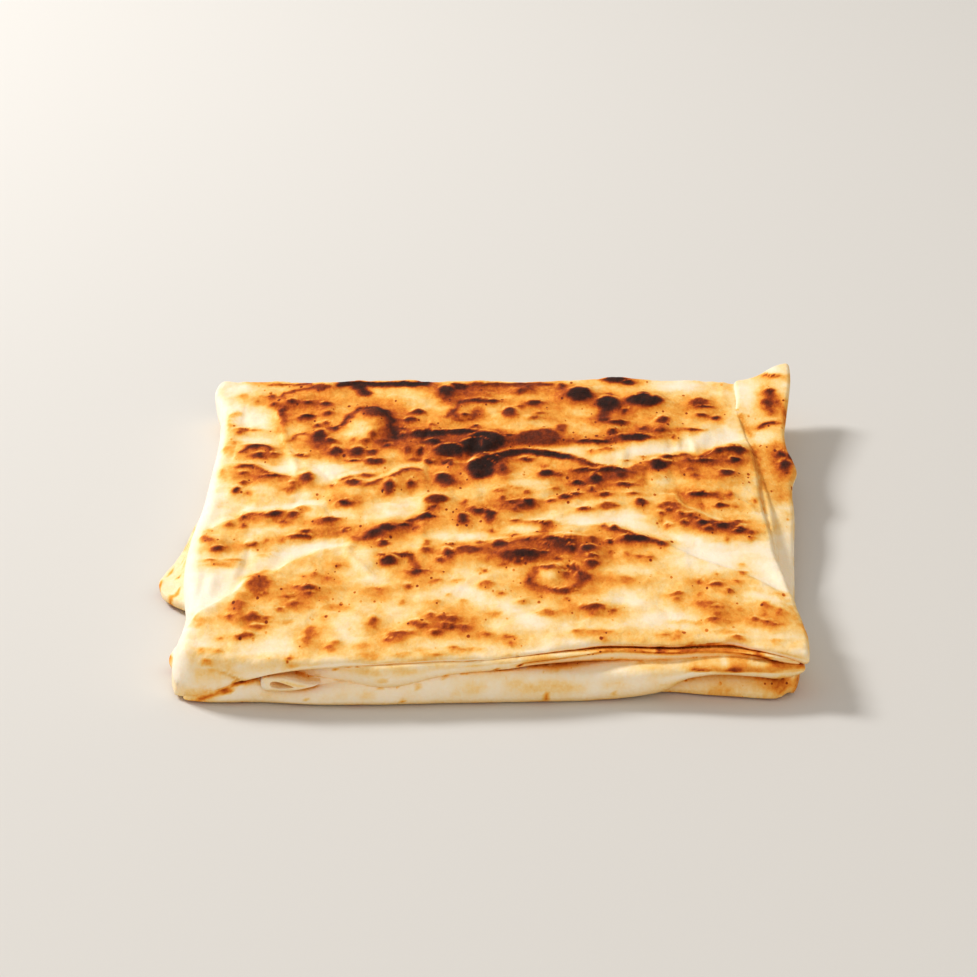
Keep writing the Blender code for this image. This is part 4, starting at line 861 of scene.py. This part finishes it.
def loop_hollow():
    """What is cut out of the curl to open its loop: a drop that thins out to the right."""
    bm = bmesh.new()
    bmesh.ops.create_uvsphere(bm, u_segments=24, v_segments=16, radius=1.0)
    for vert in bm.verts:
        vert.co.z *= 1 - 0.6 * vert.co.x
        vert.co.z -= 0.5 * vert.co.x
    bmesh.ops.scale(bm, vec=HOLLOW_RADII, verts=bm.verts)
    bmesh.ops.translate(bm, vec=HOLLOW_CENTRE, verts=bm.verts)
    return shaped("loop_hollow", bm)


def side_strip():
    """The strip along the right, half under the top sheet. Its back end flares up."""
    def level(x, y):
        out = ease(0.0980, 0.0010 + through(STRIP_RIGHT, y), x)
        return through(STRIP_NEAR, y) * (1 - out) + through(STRIP_FAR, y) * out

    def top(x, y):
        blisters = mark_blisters(*plan_place(x, y, level(x, y)))
        return level(x, y) + WOBBLE * ripple(x, y, 0.008, 51.0) + blisters

    def bottom(x, y):
        return level(x, y) - 0.0040 - 0.0012 * (1 - ease(-0.075, 0.0, y))
    return slab("side_strip", STRIP_CELLS, (STRIP_LEFT[0][1], 0.113, STRIP_FRONT_Y, 0.131),
                [curve(STRIP_LEFT), curve(STRIP_RIGHT), STRIP_FRONT_Y, curve(STRIP_BACK)],
                (0.0024, 0.0020, 0.0030, 0.0024), top, bottom, corner=0.001)


def tab():
    """The corner of a lower fold that shows at the left."""
    def top(x, y):
        ridge = bell((y + 0.034 + 0.25 * (x + 0.117)) / 0.0040)
        return 0.0042 + 0.0014 * ease(-0.117, -0.104, x) + 0.0008 * ridge

    def bottom(x, y):
        return 0.0008 + 4.0 * (x + 0.100) ** 2 + 1.0 * (y + 0.035) ** 2
    return slab("tab", SMALL_CELLS, (TAB_LEFT_X, TAB_RIGHT_X, -0.050, 0.005),
                [TAB_LEFT_X, TAB_RIGHT_X, curve(TAB_FRONT), curve(TAB_BACK)],
                (0.0014, 0.0014, 0.0016, 0.0016), top, bottom, corner=0.001)


def top_sheet():
    """The griddled face. Its right edge is a thin lip, its left edge a full fold."""
    def rim(x, y):
        left = 1 - ease(-0.1060, -0.0700, x)
        low_corner = 0.42 * (1 - ease(-0.0800, -0.0560, x)) * (1 - ease(-0.1120, -0.0850, y))
        high_corner = 0.32 * left * ease(0.0850, 0.1150, y)
        return 0.50 - low_corner + high_corner

    def left_radius(y):
        return 0.0062 - 0.0026 * ease(0.0850, 0.1150, y)

    def front_radius(x):
        return 0.0026 + 0.0036 * (1 - ease(-0.0950, -0.0650, x))

    corner = below_edge(CORNER_EDGE, CORNER_STEP, CORNER_START, CORNER_END, soft=0.0006)
    turned = below_edge(TURNED_EDGE, TURNED_STEP, TURNED_START, TURNED_END)
    return slab("top_sheet", TOP_CELLS, (LEFT, RIGHT, FRONT, BACK),
                [curve(TOP_LEFT), curve(TOP_RIGHT), wobbling(TOP_FRONT, 0.0075, 85.0), curve(TOP_BACK)],
                (left_radius, 0.0020, front_radius, 0.0050), top_of_top_sheet, under_top_sheet,
                rim=rim, corner=0.001, bend=TOP_BEND_CELLS,
                set_back=lambda x, z: corner(x, z) + turned(x, z))


def combined(name, operation, first, others):
    """One closed mesh: the others added to the first object or cut from it. All are then removed."""
    group = bpy.data.collections.new("operands")
    bpy.context.scene.collection.children.link(group)
    for other in others:
        group.objects.link(other)
    bpy.context.scene.collection.objects.link(first)
    change = first.modifiers.new("change", "BOOLEAN")
    change.operation = operation
    change.operand_type = "COLLECTION"
    change.collection = group
    change.solver = "MANIFOLD"
    bpy.context.view_layer.update()
    graph = bpy.context.evaluated_depsgraph_get()
    mesh = bpy.data.meshes.new_from_object(first.evaluated_get(graph))
    mesh.name = name
    for used in [first, *others]:
        bpy.data.objects.remove(used)
    bpy.data.collections.remove(group)
    return bpy.data.objects.new(name, mesh)


def seen_from_front(mesh, tree, wanted):
    """1 where a wanted vertex shows from the camera, 0 where other dough stands before it."""
    seen = np.ones(len(mesh.vertices))
    for index in np.flatnonzero(wanted):
        vert = mesh.vertices[index]
        start = vert.co + vert.normal * SIGHT_LIFT
        if tree.ray_cast(start, CAMERA_PLACE - start, SIGHT_REACH)[0] is not None:
            seen[index] = 0.0
    return seen


def hidden_share(mesh, tree, wanted):
    """How much of the air over each wanted vertex other dough hides, from 0 to 1."""
    turns = [(k + 0.5) / SKY_RAYS for k in range(SKY_RAYS)]
    sky = [Vector((math.sqrt(t) * math.cos(RAY_TURN * k), math.sqrt(t) * math.sin(RAY_TURN * k),
                   math.sqrt(1 - t))) for k, t in enumerate(turns)]
    share = np.zeros(len(mesh.vertices))
    for index in np.flatnonzero(wanted):
        vert = mesh.vertices[index]
        tilt = vert.normal.to_track_quat("Z", "Y")
        start = vert.co + vert.normal * SKY_LIFT
        hits = [tree.ray_cast(start, tilt @ ray, SKY_REACH)[0] for ray in sky]
        share[index] = sum(hit is not None for hit in hits) / SKY_RAYS
    return share


def front_marks(x, z):
    """The toast of the marks on the front faces."""
    raw = np.ones_like(x)
    wx = x / MM + 0.8 * ripple(x, z, 0.0030, 91.0)
    wz = z / MM + 0.5 * ripple(x, z, 0.0030, 92.0)
    for cx, cz, rx, rz, depth in FRONT_MARKS:
        ring = np.hypot((wx - cx) / rx, (wz - cz) / rz)
        raw *= 1 - depth * (1 - ease(0.5, 1.6, ring))
    return 1 - raw


def rim_toast_and_slit_shade(x, z):
    """The thin layers' rims over the front faces: partly their real toast, partly painted shade of the slit
    just under each rim.
    """
    shade = np.zeros_like(x)
    for line, depth, width, first, last in (
            (CORNER_EDGE, 0.24, 0.0012, CORNER_START, (-0.0800, -0.0745)),
            (INNER_EDGE, 0.40, 0.0006, INNER_START, INNER_END),
            (TOP_LIP, 0.46, 0.0007, (-0.1000, -0.0960), (-0.0800, -0.0740))):
        under = bell((z - through(line, x) + 0.0003) / width)
        shade = np.maximum(shade, depth * under * between(first, last, x))
    return shade


def side_toast_and_shade(x, y, z, up, cloud, left):
    """The toast of the dough that never lay on the griddle: the sides and the tab, with painted shade in the
    pocket under the roll and partly over the tab.
    """
    turned_under = 1 - ease(-0.75, 0.05, up)
    at_table = (1 - ease(0.0006, 0.0022, z)) * ease(-0.3, 0.5, ripple(x, y, 0.010, 65.0))
    # pocket: painted shade inside the open pocket under the roll's raised part
    pocket = ease(0.050, 0.060, x) * (1 - ease(-0.109, -0.105, y)) * (1 - ease(0.0075, 0.0090, z))
    sides = 0.09 + 0.05 * cloud + 0.12 * turned_under + 0.16 * at_table + 0.12 * pocket
    # The tab: partly toast along its creases, partly painted shade that dims the low tab
    tab_folds_and_shade = (x < -0.1085) * (0.05 + 0.34 * ease(0.15, 0.5, ripple(3 * x, y, 0.007, 67.0)))
    return sides * (1 - 0.7 * left * (z > 0.007)) + tab_folds_and_shade * (z < 0.0075)


def toast_and_light_attribute(mesh):
    """Stores how toasted each vertex is, with painted shade in the gaps, slits, pocket and tab and painted
    light on the sides facing the key. The face takes its marks from the plan.
    """
    x, y, z = np.array([vert.co for vert in mesh.vertices], float).T
    sideways, _, up = np.array([vert.normal for vert in mesh.vertices], float).T
    tree = BVHTree.FromPolygons([vert.co for vert in mesh.vertices],
                                [side.vertices for side in mesh.polygons])
    face = ease(*FACE_TILT, up) * ease(*FACE_LEVEL, z)
    left = 1 - ease(-0.107, -0.100, x)
    cloud = ripple(x, y, 0.012, 61.0, z)

    # Places of the face that other dough hides from the front have no marks, only the even toasting
    seen = seen_from_front(mesh, tree, (face > 0) & (y > -0.110))
    griddled = toast_and_highlights_at(*plan_place(x, y, z)) * seen + griddle_glow(x, y) * (1 - seen)
    edge = bell((up - 0.30) / 0.28) * ease(-0.35, 0.45, cloud + 0.6 * ripple(x, y, 0.004, 63.0, z))
    toast = (griddled * face + side_toast_and_shade(x, y, z, up, cloud, left) * (1 - face)
             + 0.14 * edge * (1 - 0.8 * left))

    on_front = (1 - front_marks(x, z)) * (1 - rim_toast_and_slit_shade(x, z))
    toast = 1 - (1 - toast) * np.where((y < FRONT_FACES_Y) & (z < FRONT_FACES_TOP), on_front, 1.0)
    # Painted light: sides turned to the left, toward the key light, are painted paler and get no painted gap
    # shade
    lit_toward_left = ease(0.25, 0.85, -sideways) * (z > 0.006)
    toast = toast * (1 - 0.75 * lit_toward_left)

    # Painted shade: narrow gaps between the layers, where other dough hides the air, are darkened, the curl's
    # opening less so
    near_sides = (y < SIDES_Y) | (np.abs(x) > SIDES_X)
    hidden = ease(0.42, 1.0, hidden_share(mesh, tree, near_sides & (z > 0.0002)))
    from_loop = np.hypot(x - HOLLOW_CENTRE[0], z - HOLLOW_CENTRE[2])
    gap_shade = np.where((from_loop < LOOP_RADIUS) & (y < FRONT_FACES_Y), LOOP_SHADE, GAP_SHADE)
    toast = toast + (1 - toast) * gap_shade * (1 - lit_toward_left) * hidden
    mesh.attributes.new("toast", "FLOAT", "POINT").data.foreach_set("value", toast.astype(np.float32))


class Socket:
    """A shader socket that takes part in Python expressions."""

    def __init__(self, tree, socket):
        self.tree, self.socket = tree, socket

    def math(self, operation, other, swap=False):
        pair = (other, self) if swap else (self, other)
        return add_node(self.tree, "ShaderNodeMath", {"operation": operation}, {0: pair[0], 1: pair[1]})

    def __add__(self, other): return self.math("ADD", other)
    def __radd__(self, other): return self.math("ADD", other, True)
    def __sub__(self, other): return self.math("SUBTRACT", other)
    def __rsub__(self, other): return self.math("SUBTRACT", other, True)
    def __mul__(self, other): return self.math("MULTIPLY", other)
    def __rmul__(self, other): return self.math("MULTIPLY", other, True)


def add_node(tree, kind, settings=None, inputs=None, output=0):
    """Adds a node: its settings first, then its sockets' values or links. Returns one output."""
    node = tree.nodes.new(kind)
    for name, setting in (settings or {}).items():
        if name == "stops":
            set_stops(node.color_ramp, setting)
        else:
            setattr(node, name, setting)
    for name, given in (inputs or {}).items():
        if isinstance(given, Socket):
            tree.links.new(given.socket, node.inputs[name])
        else:
            node.inputs[name].default_value = given
    return Socket(tree, node.outputs[output])


def set_stops(ramp, stops):
    """Gives a colour ramp its stops, each a place and a colour."""
    while len(ramp.elements) < len(stops):
        ramp.elements.new(0.5)
    for element, (place, color) in zip(ramp.elements, stops):
        element.position = place
        element.color = color


def srgb(red, green, blue):
    """A colour given as 0 to 255 on screen, in the renderer's linear light."""
    channels = (c / 255 for c in (red, green, blue))
    return (*(c / 12.92 if c <= 0.04045 else ((c + 0.055) / 1.055) ** 2.4 for c in channels), 1.0)


def noise_field(tree, place, scale, detail, roughness, distortion=0.0):
    """Cloudy noise round 0.5."""
    return add_node(tree, "ShaderNodeTexNoise", {}, {
        "Vector": place, "Scale": scale, "Detail": detail, "Roughness": roughness,
        "Distortion": distortion})


def needle_pricks(tree, place, scale, rarity, size):
    """Round dots, one in some of the cells of the given scale: 1 in the dot, 0 around it."""
    cells = {"Vector": place, "Scale": scale, "Randomness": 1.0}
    gap = add_node(tree, "ShaderNodeTexVoronoi", {}, cells, "Distance")
    kind = add_node(tree, "ShaderNodeTexVoronoi", {}, cells, "Color")
    chance = add_node(tree, "ShaderNodeSeparateColor", {}, {"Color": kind})
    return add_node(tree, "ShaderNodeMapRange", {"interpolation_type": "SMOOTHSTEP"}, {
        "Value": gap - (chance - rarity) * size, "From Min": -0.01, "From Max": 0.08,
        "To Min": 1.0, "To Max": 0.0})


def dough_material():
    """Dough that goes from cream over gold and brown to char, by its attribute of toast with painted shade
    and light.
    """
    material = bpy.data.materials.new("griddled_dough")
    material.use_nodes = True
    tree = material.node_tree
    shader = tree.nodes["Principled BSDF"]
    place = add_node(tree, "ShaderNodeTexCoord", output="Object")
    toast = add_node(tree, "ShaderNodeAttribute", {"attribute_name": "toast"}, output="Fac")

    drawn_out = add_node(tree, "ShaderNodeVectorMath", {"operation": "MULTIPLY"}, {
        0: place, 1: (1.0, 0.5, 1.0)})  # the dough was stretched from front to back
    blotch = noise_field(tree, drawn_out, scale=300.0, detail=4.0, roughness=0.6, distortion=0.5)
    freckle = noise_field(tree, drawn_out, scale=700.0, detail=3.0, roughness=0.55, distortion=0.4)
    grain = noise_field(tree, place, scale=1100.0, detail=3.0, roughness=0.6)
    crinkle = noise_field(tree, place, scale=330.0, detail=5.0, roughness=0.6, distortion=1.2)
    pricks = (needle_pricks(tree, drawn_out, scale=250.0, rarity=0.46, size=0.26)
              + needle_pricks(tree, drawn_out, scale=420.0, rarity=0.74, size=0.70))
    toasted = add_node(tree, "ShaderNodeMapRange", {"interpolation_type": "SMOOTHSTEP"}, {
        "Value": toast + (blotch - 0.5) * 0.5, "From Min": 0.15, "From Max": 0.45, "To Min": 0.0,
        "To Max": 1.0})

    reach = toast * (1.25 - toast) * 1.5 + 0.10
    uneven = toast + ((blotch - 0.5) * 0.40 + (freckle - 0.5) * 0.36 + (grain - 0.5) * 0.12) * reach
    depth = uneven + pricks * toasted * (0.62 - uneven * 0.7)
    stops = [(k / 10, srgb(*color)) for k, color in enumerate(TOAST_COLORS)]
    color = add_node(tree, "ShaderNodeValToRGB", {"stops": stops}, {"Fac": depth})
    tree.links.new(color.socket, shader.inputs["Base Color"])

    roughness = add_node(tree, "ShaderNodeMapRange", {}, {
        "Value": depth, "From Min": 0.1, "From Max": 0.9, "To Min": 0.62, "To Max": 0.78})
    tree.links.new(roughness.socket, shader.inputs["Roughness"])

    relief = (crinkle + grain * 0.25) * (toast * 0.9 + 0.35)
    normal = add_node(tree, "ShaderNodeBump", {}, {"Height": relief, "Strength": 0.8,
                                                  "Distance": 0.0008})
    tree.links.new(normal.socket, shader.inputs["Normal"])
    shader.inputs["Specular IOR Level"].default_value = 0.10
    shader.inputs["Subsurface Weight"].default_value = 0.10
    shader.inputs["Subsurface Radius"].default_value = (0.0030, 0.0016, 0.0008)
    shader.inputs["Subsurface Scale"].default_value = 1.0
    return material


def folded_bread():
    """The bread in full detail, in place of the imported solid."""
    curled = combined("curled", "DIFFERENCE", curl(), [loop_hollow()])
    bread = combined("gozleme", "UNION", top_sheet(),
                     [inner_fold(), curled, roll(), base(), side_strip(), tab()])
    toast_and_light_attribute(bread.data)
    bread.data.transform(Matrix.Translation(packed_shift()))
    bread.data.materials.clear()
    bread.data.materials.append(dough_material())
    bread.data.shade_smooth()
    bread.data.set_sharp_from_angle(angle=SHARP_ANGLE)
    bpy.context.scene.collection.objects.link(bread)
    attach(bread, "root")
    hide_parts("folded_bread")


def packed_shift():
    """From the drawing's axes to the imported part's."""
    packed_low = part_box("folded_bread")[0]
    return packed_low - Vector((TAB_LEFT_X, CURL_FRONT_Y, 0.0))


def plain_material(name, color, roughness):
    material = bpy.data.materials.new(name)
    material.use_nodes = True
    shader = material.node_tree.nodes["Principled BSDF"]
    shader.inputs["Base Color"].default_value = color
    shader.inputs["Roughness"].default_value = roughness
    return material


def table():
    """A plain pale floor."""
    bm = bmesh.new()
    bmesh.ops.create_grid(bm, x_segments=1, y_segments=1, size=6.0)
    floor = shaped("table", bm)
    floor.data.materials.append(plain_material("pale_table", srgb(216, 214, 211), 0.9))
    bpy.context.scene.collection.objects.link(floor)


def lamp(name, place, size, power, color):
    """A square soft light aimed at the bread."""
    data = bpy.data.lights.new(name, "AREA")
    data.size = size
    data.energy = power
    data.color = color
    light = bpy.data.objects.new(name, data)
    light.location = place
    light.rotation_euler = (-Vector(place)).to_track_quat("-Z", "Y").to_euler()
    bpy.context.scene.collection.objects.link(light)


def studio():
    """Soft light from the back left, a weak fill from the front and a dim warm room."""
    lamp("key", (-1.43, 0.99, 1.34), size=0.54, power=42.0, color=(1.0, 0.99, 0.97))
    lamp("front_fill", (0.25, -1.35, 0.8), size=1.0, power=4.6, color=(1.0, 0.95, 0.89))
    world = bpy.data.worlds.new("room")
    world.use_nodes = True
    background = world.node_tree.nodes["Background"]
    background.inputs["Color"].default_value = (1.0, 0.935, 0.85, 1.0)
    background.inputs["Strength"].default_value = 0.50
    bpy.context.scene.world = world
    bpy.context.scene.view_settings.view_transform = "Standard"


def camera():
    data = bpy.data.cameras.new("camera")
    data.lens = CAMERA_LENS
    data.clip_start = 0.05
    view = bpy.data.objects.new("camera", data)
    view.location = CAMERA_PLACE + packed_shift()
    view.rotation_euler = (math.pi / 2 - CAMERA_DOWN, 0.0, 0.0)
    bpy.context.scene.collection.objects.link(view)
    bpy.context.scene.camera = view


camera()
studio()
table()
folded_bread()

bpy.context.view_layer.update()
